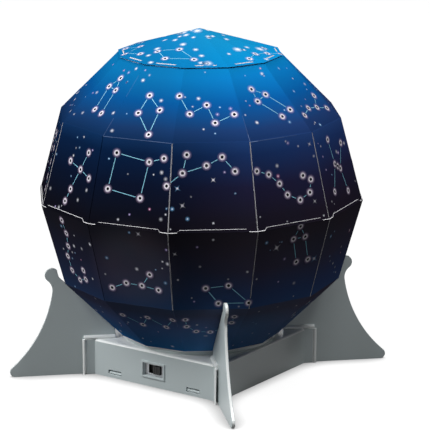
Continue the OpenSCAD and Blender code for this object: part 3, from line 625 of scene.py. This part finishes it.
def night_sky(nodes, links):
    """The print's fade by height, paler towards one side as painted light, with a purplish patch that is
    partly print and partly painted reflection, and faint clouds of purple and blue.
    """
    place = nodes.new("ShaderNodeTexCoord")
    split = nodes.new("ShaderNodeSeparateXYZ")
    links.new(place.outputs["Object"], split.inputs["Vector"])
    height = nodes.new("ShaderNodeMapRange")
    height.inputs["From Min"].default_value = sky_bottom
    height.inputs["From Max"].default_value = sky_top
    links.new(split.outputs["Z"], height.inputs["Value"])
    sides = []
    for side in (1, 2):
        fade = nodes.new("ShaderNodeValToRGB")
        stops = fade.color_ramp.elements
        stops.remove(stops[1])
        stops[0].position = 0
        stops[0].color = srgb(*SKY[0][side])
        for stop in SKY[1:]:
            stops.new((stop[0] - sky_bottom) / (sky_top - sky_bottom)).color = srgb(*stop[side])
        links.new(height.outputs["Result"], fade.inputs["Fac"])
        sides.append(fade)
    across = nodes.new("ShaderNodeVectorMath")
    across.operation = "DOT_PRODUCT"
    across.inputs[1].default_value = (math.sin(painted_light_side), -math.cos(painted_light_side), 0)
    links.new(place.outputs["Object"], across.inputs[0])
    pale = nodes.new("ShaderNodeMapRange")
    pale.interpolation_type = "SMOOTHSTEP"
    pale.inputs["From Min"].default_value = painted_light_from * globe_radius
    pale.inputs["From Max"].default_value = painted_light_to * globe_radius
    links.new(across.outputs["Value"], pale.inputs["Value"])
    fade = nodes.new("ShaderNodeMix")
    fade.data_type = "RGBA"
    links.new(pale.outputs["Result"], fade.inputs["Factor"])
    links.new(sides[0].outputs["Color"], fade.inputs["A"])
    links.new(sides[1].outputs["Color"], fade.inputs["B"])
    off_haze = nodes.new("ShaderNodeVectorMath")
    off_haze.operation = "DISTANCE"
    off_haze.inputs[1].default_value = haze_and_reflection_place
    links.new(place.outputs["Object"], off_haze.inputs[0])
    in_haze = nodes.new("ShaderNodeMapRange")
    in_haze.interpolation_type = "SMOOTHSTEP"
    in_haze.inputs["From Min"].default_value = haze_and_reflection_size
    in_haze.inputs["From Max"].default_value = haze_and_reflection_size / 3
    links.new(off_haze.outputs["Value"], in_haze.inputs["Value"])
    haze = nodes.new("ShaderNodeMix")
    haze.data_type = "RGBA"
    haze.blend_type = "SCREEN"
    haze.inputs["B"].default_value = haze_and_reflection_colour
    links.new(in_haze.outputs["Result"], haze.inputs["Factor"])
    links.new(fade.outputs["Result"], haze.inputs["A"])
    clouds = nodes.new("ShaderNodeTexNoise")
    clouds.inputs["Scale"].default_value = cloud_size
    clouds.inputs["Detail"].default_value = 4
    links.new(place.outputs["Object"], clouds.inputs["Vector"])
    tint = nodes.new("ShaderNodeValToRGB")
    tint.color_ramp.elements[0].position = 0.35
    tint.color_ramp.elements[0].color = warm_cloud
    tint.color_ramp.elements[1].position = 0.65
    tint.color_ramp.elements[1].color = cool_cloud
    links.new(clouds.outputs["Fac"], tint.inputs["Fac"])
    tinted = nodes.new("ShaderNodeMix")
    tinted.data_type = "RGBA"
    tinted.blend_type = "MULTIPLY"
    tinted.inputs["Factor"].default_value = 1
    links.new(haze.outputs["Result"], tinted.inputs["A"])
    links.new(tint.outputs["Color"], tinted.inputs["B"])
    return tinted.outputs["Result"]


night_print = bpy.data.materials.new("night_print")
night_print.use_nodes = True
nodes, links = night_print.node_tree.nodes, night_print.node_tree.links
print_surface = nodes["Principled BSDF"]
print_surface.inputs["Roughness"].default_value = 0.5
print_surface.inputs["Specular IOR Level"].default_value = 0
links.new(night_sky(nodes, links), print_surface.inputs["Base Color"])

bare_board = bpy.data.materials.new("bare_board")
bare_board.use_nodes = True
nodes, links = bare_board.node_tree.nodes, bare_board.node_tree.links
board_surface = nodes["Principled BSDF"]
board_surface.inputs["Roughness"].default_value = 0.8
board_surface.inputs["Specular IOR Level"].default_value = 0.2
place = nodes.new("ShaderNodeTexCoord")
fibres = nodes.new("ShaderNodeTexNoise")
fibres.inputs["Scale"].default_value = 900
fibres.inputs["Detail"].default_value = 4
links.new(place.outputs["Object"], fibres.inputs["Vector"])
fibre_tone = nodes.new("ShaderNodeMix")
fibre_tone.data_type = "RGBA"
fibre_tone.inputs["A"].default_value = srgb(236, 235, 238)
fibre_tone.inputs["B"].default_value = srgb(214, 213, 217)
links.new(fibres.outputs["Fac"], fibre_tone.inputs["Factor"])
links.new(fibre_tone.outputs["Result"], board_surface.inputs["Base Color"])


def printed_side(centre, normal, rows):
    """Whether a face of a card lies in the printed outside of one of its rows."""
    azimuth = math.atan2(centre.x, -centre.y) - globe_twist
    middle = globe_twist + (math.floor(azimuth / gore_turn) + 0.5) * gore_turn
    facing = Matrix.Rotation(-middle, 3, "Z") @ normal
    return any(
        facing.dot(Vector((0, -math.cos(lean(row)), math.sin(lean(row))))) > math.cos(facing_slack)
        for row in rows
    )


def off_seam(point):
    """How far a point of the globe lies from the nearest line between two gores."""
    turn = (math.atan2(point.x, -point.y) - globe_twist) % gore_turn
    return min(turn, gore_turn - turn) * math.hypot(point.x, point.y)


def pricked(face):
    """Whether a face is part of a pinhole's wall, which takes the dark print as painted shade of the narrow
    hole.
    """
    return face.area < hole_wall_area and off_seam(face.center) > hole_off_seam


def along_dark_seam(point):
    """Whether a point lies at the first seam, whose cut faces take the dark print as painted shade of the
    tight seam.
    """
    turn = (math.atan2(point.x, -point.y) - globe_twist + math.pi) % math.tau - math.pi
    return abs(turn) * math.hypot(point.x, point.y) < seam_gap


def on_dark_seam(edge):
    return all(along_dark_seam(v.co) for v in edge.verts)


def on_tab(edge):
    """Whether an edge goes round the end of a tab that overlaps the upper petals."""
    return all(
        tab_foot < v.co.z - globe_middle.z < tab_reach
        and v.co.xy.length > apothem(globe_radius) + tab_foot
        for v in edge.verts
    )


def folded_card(node, name, rows):
    """A copy of a card with chamfered cuts, printed outside and bare board elsewhere."""
    card = bpy.data.objects.new(name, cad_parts[node].data.copy())
    bpy.context.scene.collection.objects.link(card)
    bpy.ops.object.select_all(action="DESELECT")
    card.select_set(True)
    bpy.context.view_layer.objects.active = card
    bpy.ops.object.mode_set(mode="EDIT")
    bpy.ops.mesh.select_all(action="SELECT")
    bpy.ops.mesh.remove_doubles(threshold=weld_reach)
    bpy.ops.mesh.dissolve_limited(angle_limit=flat_turn)
    bpy.ops.object.mode_set(mode="OBJECT")
    # only the cuts through the board are chamfered, not the folds
    shapes = bmesh.new()
    shapes.from_mesh(card.data)
    printed = {f.index for f in shapes.faces if printed_side(f.calc_center_median(), f.normal, rows)}
    slivers = {f.index for f in shapes.faces if f.calc_area() < sliver_width * f.calc_perimeter()}
    cuts = {
        edge.index: 1 if on_tab(edge) else cut_edge / tab_edge for edge in shapes.edges
        if len(edge.link_faces) == 2
        and len(printed & {f.index for f in edge.link_faces}) == 1
        and not slivers & {f.index for f in edge.link_faces}
        and not on_dark_seam(edge)
    }
    shapes.free()
    weight = card.data.attributes.new("bevel_weight_edge", "FLOAT", "EDGE")
    for index, share in cuts.items():
        weight.data[index].value = share
    bevel = card.modifiers.new("chamfered_cuts", "BEVEL")
    bevel.width = tab_edge
    bevel.segments = 1
    bevel.limit_method = "WEIGHT"
    bevel.use_clamp_overlap = False
    bpy.ops.object.modifier_apply(modifier=bevel.name)
    card.data.materials.clear()
    card.data.materials.append(night_print)
    card.data.materials.append(bare_board)
    for face in card.data.polygons:
        face.use_smooth = False
        # the cut faces at the first seam and the pinhole walls take the dark print as painted shade
        dark = printed_side(face.center, face.normal, rows) or along_dark_seam(face.center) or pricked(face)
        face.material_index = 0 if dark else 1
    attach(card, "globe")
    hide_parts(node)
    return card


folded_card("lower_card_1", "lower_half_1", [LOWER_PETAL, LOWER_BAND, UPPER_PETAL])
folded_card("lower_card_2", "lower_half_2", [LOWER_PETAL, LOWER_BAND, UPPER_PETAL])
folded_card("upper_card_1", "upper_half_1", [UPPER_PETAL, UPPER_BAND])
folded_card("upper_card_2", "upper_half_2", [UPPER_PETAL, UPPER_BAND])
folded_card("globe_cap", "cap", [CAP])
dress("globe_foot", bare_board)

# ---- star print ----
# The star figures printed on the card, in white and cyan ink: a glowing ring round each
# pinhole, thin lines between the stars of a figure, and small stars strewn between them.
# stars of each figure in millimetres about its middle, and the pairs that a line joins
FIGURES = [
    [(-17, 7), (-9, 9), (-3, 5), (4, 2), (6, -7), (16, -8), (17, 2)],
    [(-14, 5), (-7, -4), (0, 3), (6, -6), (14, 1)],
    [(0, 14), (1, 4), (-9, 1), (10, 6), (2, -8), (3, -15)],
    [(-8, 13), (7, 12), (-3, 1), (0, 0), (3, -1), (-7, -13), (9, -12)],
    [(1, 12), (-3, 6), (4, 5), (-1, -8), (6, -9)],
    [(-12, 6), (-11, -1), (-6, -6), (1, -7), (7, -4), (11, 2), (12, 8)],
    [(0, 11), (-6, 2), (5, 1), (-1, -12)],
    [(-16, -8), (-9, -1), (-8, 8), (2, 4), (9, 9), (16, 3)],
    [(-9, 9), (9, 10), (10, -8), (-8, -9), (16, 14)],
    [(-12, 13), (-7, 8), (-4, 1), (-3, -6), (2, -12), (9, -12), (13, -7), (10, -3)],
    [(-13, 0), (-4, 1), (4, -2), (11, 3), (12, -6)],
    [(-5, 14), (6, 12), (-6, 4), (5, 2), (-8, -8), (3, -10), (-13, -13)],
]
LINES = [
    [(0, 1), (1, 2), (2, 3), (3, 4), (4, 5), (5, 6), (6, 3)],
    [(0, 1), (1, 2), (2, 3), (3, 4)],
    [(0, 1), (1, 2), (1, 3), (1, 4), (4, 5)],
    [(0, 2), (1, 4), (2, 3), (3, 4), (2, 5), (4, 6)],
    [(0, 1), (0, 2), (1, 2), (1, 3), (2, 4)],
    [(0, 1), (1, 2), (2, 3), (3, 4), (4, 5), (5, 6)],
    [(0, 1), (1, 3), (3, 2), (2, 0)],
    [(0, 1), (1, 2), (1, 3), (3, 4), (4, 5)],
    [(0, 1), (1, 2), (2, 3), (3, 0), (1, 4)],
    [(0, 1), (1, 2), (2, 3), (3, 4), (4, 5), (5, 6), (6, 7)],
    [(0, 1), (1, 2), (2, 3), (2, 4)],
    [(0, 2), (1, 3), (2, 3), (2, 4), (3, 5), (4, 6)],
]
# where they stand: row, gore, figure, x and y in the facet's plane, turn in degrees
PLACES = [
    (UPPER_BAND, 0, 6, 2, 18, 20), (UPPER_BAND, 1, 1, -2, 22, -15), (UPPER_BAND, 2, 4, 3, 22, 35),
    (UPPER_BAND, 3, 10, 0, 14, 10), (UPPER_BAND, 5, 5, 0, 18, 180), (UPPER_BAND, 6, 7, 0, 12, 0),
    (UPPER_BAND, 8, 6, 0, 22, 160), (UPPER_BAND, 9, 1, 0, 12, 8), (UPPER_BAND, 11, 4, -1, 24, 0),
    (UPPER_PETAL, 0, 8, -4, 30, -12), (UPPER_PETAL, 1, 7, -6, 34, -8), (UPPER_PETAL, 2, 9, -1, 26, 24),
    (UPPER_PETAL, 3, 3, 2, 26, -14), (UPPER_PETAL, 4, 0, 0, 20, 14), (UPPER_PETAL, 6, 11, 0, 26, 0),
    (UPPER_PETAL, 7, 1, 4, 18, 160), (UPPER_PETAL, 8, 2, 0, 28, 20), (UPPER_PETAL, 9, 5, 0, 24, 30),
    (UPPER_PETAL, 10, 9, 0, 24, 180), (UPPER_PETAL, 11, 2, 3, 25, -30),
    (LOWER_PETAL, 0, 10, -1, 15, 18), (LOWER_PETAL, 1, 6, 9, 10, 70), (LOWER_PETAL, 2, 4, 6, 36, 10),
    (LOWER_PETAL, 4, 8, 0, 26, 8), (LOWER_PETAL, 5, 3, 0, 26, 100), (LOWER_PETAL, 6, 0, 0, 30, -10),
    (LOWER_PETAL, 8, 7, 0, 20, 12), (LOWER_PETAL, 9, 11, 0, 26, 170), (LOWER_PETAL, 11, 9, -2, 26, -35),
    (LOWER_BAND, 0, 1, 2, 34, 12), (LOWER_BAND, 1, 5, 0, 32, 0), (LOWER_BAND, 3, 6, 0, 30, 90),
    (LOWER_BAND, 5, 4, 0, 28, 20), (LOWER_BAND, 7, 10, 0, 34, 6), (LOWER_BAND, 9, 1, 0, 30, 190),
    (CAP, 0, 6, 0, 16, 80), (CAP, 3, 10, 0, 9, 0), (CAP, 7, 4, 0, 14, 100), (CAP, 10, 1, 0, 10, 4),
]
figure_size = 1.2
hole_margin = pinhole_radius + 0.9 * mm
star_radii = [
    3.1 * mm, 2.5 * mm, 2.0 * mm, 1.6 * mm, 1.2 * mm, 0.95 * mm, 0.85 * mm,
    pinhole_radius + 0.02 * mm,
]
star_cover = [0, 0.1, 0.3, 0.72, 1, 1, 1, 1]
line_width = 0.42 * mm
line_clearance = 1.4 * mm
ink_lift = 0.04 * mm
ink_white = srgb(246, 240, 250)
ink_halo = srgb(220, 196, 234)
ink_line = srgb(150, 218, 242)
# the black in each star's middle is painted shade of the pinhole
painted_hole_shade = srgb(10, 10, 14)


def turned(point, angle):
    return Matrix.Rotation(angle, 2) @ Vector(point)


def hop(row, point, side):
    """The same place of the print, told in the plane of the next gore."""
    edge = half_edge(ROWS[row][0][0])
    fold = 2 * math.atan((edge - half_edge(ROWS[row][1][0])) / slant(row))
    return turned(point - Vector((side * edge, 0)), -side * fold) - Vector((side * edge, 0))


def wrapped(row, gore, point):
    """Row, gore and place of a point that may lie past a fold or a seam."""
    point = Vector(point)
    if row == UPPER_PETAL and point.y > slant(row):
        row, point = UPPER_BAND, point - Vector((0, slant(row)))
    elif row == UPPER_BAND and point.y < 0:
        row, point = UPPER_PETAL, point + Vector((0, slant(UPPER_PETAL)))
    elif row == LOWER_BAND and point.y > slant(row):
        row, point = LOWER_PETAL, point - Vector((0, slant(row)))
    elif row == LOWER_PETAL and point.y < 0:
        row, point = LOWER_BAND, point + Vector((0, slant(LOWER_BAND)))
    if abs(point.x) > half_at(row, point.y):
        side = 1 if point.x > 0 else -1
        gore, point = (gore + side) % gores, hop(row, point, side)
    point.y = min(max(point.y, 0), slant(row))
    return row, gore, point


def laid(row, gore, point, lift):
    """Place in the model of a point of the print."""
    row, gore, point = wrapped(row, gore, point)
    up, out = lean(row), globe_twist + (gore + 0.5) * gore_turn
    low_r, low_z = ROWS[row][0]
    return Matrix.Rotation(out, 3, "Z") @ Vector((
        point.x,
        -apothem(low_r) + point.y * math.sin(up) - lift * math.cos(up),
        low_z + point.y * math.cos(up) + lift * math.sin(up),
    ))


star_ink = bpy.data.materials.new("star_ink")
star_ink.use_nodes = True
nodes, links = star_ink.node_tree.nodes, star_ink.node_tree.links
ink_surface = nodes["Principled BSDF"]
ink_surface.inputs["Roughness"].default_value = 0.5
ink_surface.inputs["Specular IOR Level"].default_value = 0
ink_layer = nodes.new("ShaderNodeVertexColor")
ink_layer.layer_name = "ink"
inked = nodes.new("ShaderNodeMix")
inked.data_type = "RGBA"
links.new(ink_layer.outputs["Alpha"], inked.inputs["Factor"])
links.new(night_sky(nodes, links), inked.inputs["A"])
links.new(ink_layer.outputs["Color"], inked.inputs["B"])
links.new(inked.outputs["Result"], ink_surface.inputs["Base Color"])


def ink_disc(name, sides, radii, colours, cover, filled):
    """A flat disc of ink round the origin, drawn inwards ring by ring."""
    bpy.ops.object.select_all(action="DESELECT")
    bpy.ops.mesh.primitive_circle_add(vertices=sides, radius=radii[0], fill_type="NOTHING")
    disc = bpy.context.object
    disc.name = name
    bpy.ops.object.mode_set(mode="EDIT")
    bpy.ops.mesh.select_all(action="SELECT")
    for outer, inner in zip(radii, radii[1:]):
        bpy.ops.mesh.extrude_region_move()
        bpy.ops.transform.resize(value=(inner / outer, inner / outer, 1))
    if filled:
        bpy.ops.mesh.edge_face_add()
    bpy.ops.object.mode_set(mode="OBJECT")
    turn_up(disc)
    layer = disc.data.color_attributes.new("ink", "FLOAT_COLOR", "POINT")
    for vertex, ink in zip(disc.data.vertices, layer.data):
        nearest = min(range(len(radii)), key=lambda i: abs(radii[i] - vertex.co.length))
        ink.color = (*colours[nearest][:3], cover[nearest])
    return disc


def turn_up(sheet):
    """Turns a flat sheet's faces to look along +Z."""
    if sheet.data.polygons[0].normal.z < 0:
        bpy.ops.object.select_all(action="DESELECT")
        sheet.select_set(True)
        bpy.context.view_layer.objects.active = sheet
        bpy.ops.object.mode_set(mode="EDIT")
        bpy.ops.mesh.select_all(action="SELECT")
        bpy.ops.mesh.flip_normals()
        bpy.ops.object.mode_set(mode="OBJECT")


# the star of a figure with a rim of painted shade round its hole, a dot of painted shade that stands for the
# hole in one that has none, and a small star, each drawn once
star_disc = ink_disc("star_disc", 20, star_radii,
                     [ink_halo] * 3 + [ink_white] * 3 + [painted_hole_shade] * 2, star_cover, False)
star_dot = ink_disc("star_dot", 12, [pinhole_radius], [painted_hole_shade], [1], True)
small_star = ink_disc("small_star", 8, [1.3 * mm, 0.8 * mm, 0.45 * mm, 0.2 * mm],
                      [ink_white] * 4, [0, 0.25, 0.7, 1], True)
# a sparkle: the same, with four arms drawn out of its two outer rings
sparkle = ink_disc("sparkle", 16, [3 * mm, 1.3 * mm, 0.5 * mm], [ink_white] * 3, [0, 0.35, 1], True)
for number, vertex in enumerate(sparkle.data.vertices[:32]):
    reach = (1.0, 0.45, 0.3, 0.45)[round(math.degrees(math.atan2(vertex.co.y, vertex.co.x)) / 22.5) % 4]
    vertex.co *= reach if number < 16 else (1 + reach) / 2
# a stretch of line, cut into short pieces that can follow a fold
bpy.ops.object.select_all(action="DESELECT")
bpy.ops.mesh.primitive_grid_add(x_subdivisions=24, y_subdivisions=1, size=1)
line_strip = bpy.context.object
turn_up(line_strip)
layer = line_strip.data.color_attributes.new("ink", "FLOAT_COLOR", "POINT")
for ink in layer.data:
    ink.color = (*ink_line[:3], 0.9)


def printed(shape, row, gore, place, turn, size, lift, colour=None, strength=1.0):
    """A copy of a drawn shape, turned and sized, laid on the card at a place of the print."""
    copy = bpy.data.objects.new(shape.name + "_print", shape.data.copy())
    bpy.context.scene.collection.objects.link(copy)
    for vertex in copy.data.vertices:
        point = turned((vertex.co.x * size[0], vertex.co.y * size[1]), turn) + place
        vertex.co = laid(row, gore, point, lift)
    if colour or strength != 1:
        for ink in copy.data.color_attributes["ink"].data:
            shown = colour if colour and ink.color[3] < 1 else ink.color
            ink.color = (*shown[:3], ink.color[3] * strength)
    return copy


def print_run(name, copies):
    """Joins the copies of one printing into a piece, and cuts away what falls into a seam."""
    bpy.ops.object.select_all(action="DESELECT")
    for copy in copies:
        copy.select_set(True)
    sheet = copies[0]
    bpy.context.view_layer.objects.active = sheet
    bpy.ops.object.join()
    sheet.name = name
    bpy.ops.object.mode_set(mode="EDIT")
    bpy.ops.mesh.select_mode(type="FACE")
    bpy.ops.mesh.select_all(action="DESELECT")
    bpy.ops.object.mode_set(mode="OBJECT")
    in_petals = (ring(-30)[1], ring(30)[1])
    for face in sheet.data.polygons:
        cut_here = off_seam(face.center) < seam_gap / 2 + cut_edge
        face.select = cut_here and in_petals[0] < face.center.z < in_petals[1]
    bpy.ops.object.mode_set(mode="EDIT")
    bpy.ops.mesh.delete(type="FACE")
    bpy.ops.mesh.select_all(action="SELECT")
    bpy.ops.mesh.delete_loose()
    bpy.ops.object.mode_set(mode="OBJECT")
    sheet.data.materials.clear()
    sheet.data.materials.append(star_ink)
    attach(sheet, "globe")
    return sheet


figure_print = []
star_places = []
line_places = []
for row, gore, figure, x, y, turn in PLACES:
    stars = [
        figure_size * turned(s, math.radians(turn)) * mm + Vector((x, y)) * mm
        for s in FIGURES[figure]
    ]
    for a, b in LINES[figure]:
        run = stars[b] - stars[a]
        figure_print.append(printed(
            line_strip, row, gore, (stars[a] + stars[b]) / 2, math.atan2(run.y, run.x),
            (run.length - 2 * line_clearance, line_width), ink_lift,
        ))
        line_places += [wrapped(row, gore, stars[a] + share * run) for share in (0.2, 0.35, 0.5, 0.65, 0.8)]
    for star in stars:
        figure_print.append(printed(star_disc, row, gore, star, 0, (1, 1), 2 * ink_lift))
        star_row, star_gore, place = wrapped(row, gore, star)
        star_places.append((star_row, star_gore, place))
        open_hole = (
            star_row == row
            and abs(place.x) < half_at(star_row, place.y) - hole_margin
            and hole_margin < place.y < slant(star_row) - hole_margin
        )
        if not open_hole:
            figure_print.append(printed(star_dot, row, gore, star, 0, (1, 1), 2 * ink_lift))
print_run("star_figures", figure_print)

# some fold ridges are lighter, partly ink worn off by folding and partly a painted highlight of the ridge:
# row, gore, which edge, from and to, strength
LIGHT_FOLD_RIDGES = [
    (UPPER_PETAL, 0, "top", -1, -0.7, 0.45), (UPPER_PETAL, 0, "top", -0.72, 0.3, 0.28),
    (UPPER_PETAL, 0, "top", 0.3, 1, 0.4), (UPPER_PETAL, 2, "top", -1, -0.72, 1),
    (UPPER_PETAL, 2, "top", -0.75, 0.1, 0.3), (UPPER_PETAL, 2, "top", 0.1, 0.5, 0.15),
    (UPPER_PETAL, 6, "top", -0.9, 0.2, 0.25), (UPPER_PETAL, 9, "top", 0.4, 1, 0.4),
    (UPPER_BAND, 0, "left", 0, 0.25, 0.14), (UPPER_BAND, 0, "left", 0.55, 0.85, 0.12),
    (UPPER_BAND, 2, "left", 0, 0.13, 0.5), (UPPER_BAND, 2, "left", 0.1, 0.35, 0.18),
    (UPPER_BAND, 5, "left", 0, 0.2, 0.3), (UPPER_BAND, 8, "left", 0.05, 0.5, 0.15),
    (LOWER_BAND, 1, "left", 0.6, 1, 0.2), (LOWER_BAND, 7, "left", 0.5, 1, 0.2),
]
fold_strip_width = 0.3 * mm
fold_strip_colour = srgb(150, 174, 220)
fold_strips = []
for row, gore, edge, start, end, strength in LIGHT_FOLD_RIDGES:
    if edge == "top":
        reach = half_at(row, slant(row))
        a, b = (Vector((share * reach, slant(row) - fold_strip_width / 2)) for share in (start, end))
    else:
        heights = (start * slant(row), end * slant(row))
        a, b = (Vector((fold_strip_width / 2 - half_at(row, y), y)) for y in heights)
    run = b - a
    fold_strips.append(printed(line_strip, row, gore, (a + b) / 2, math.atan2(run.y, run.x),
                          (run.length, fold_strip_width), ink_lift, fold_strip_colour, strength))
print_run("worn_and_highlit_folds", fold_strips)

# small stars strewn over every facet, more of them and larger on the cap
SMALL_COLOURS = [srgb(240, 244, 255), srgb(130, 195, 250), srgb(232, 150, 200), srgb(190, 170, 240)]
SMALL_SHARE = [6, 3, 1, 2]
SMALL_SIZES = [0.6, 0.75, 0.75, 0.9, 1.25]
stars_per_facet = {UPPER_BAND: 12, UPPER_PETAL: 14, LOWER_PETAL: 12, LOWER_BAND: 9, CAP: 5}
sparkle_share = 0.06
edge_margin = 1.2 * mm
star_space = 4 * mm
line_space = 2.4 * mm
cap_star_size = 2.3
chance = random.Random(7)
small_print = []
for row, count in stars_per_facet.items():
    for gore in range(gores):
        for _ in range(count):
            y = chance.uniform(edge_margin, slant(row) - 2 * edge_margin)
            reach = max(half_at(row, y) - edge_margin, 0.2 * mm)
            place = Vector((chance.uniform(-reach, reach), y))
            colour = chance.choices(SMALL_COLOURS, SMALL_SHARE)[0]
            size = chance.choice(SMALL_SIZES)
            strength = chance.uniform(0.4, 1)
            shape = sparkle if chance.random() < sparkle_share else small_star
            if row == CAP:
                shape, size, colour, strength = small_star, size * cap_star_size, SMALL_COLOURS[0], 1
            turn = math.radians(chance.uniform(30, 60))
            if any(r == row and g == gore and (p - place).length < star_space for r, g, p in star_places):
                continue
            if any(r == row and g == gore and (p - place).length < line_space for r, g, p in line_places):
                continue
            small_print.append(printed(
                shape, row, gore, place, turn, (size, size), ink_lift, colour, strength))
print_run("strewn_stars", small_print)
for shape in (star_disc, star_dot, small_star, sparkle, line_strip):
    bpy.data.objects.remove(shape)
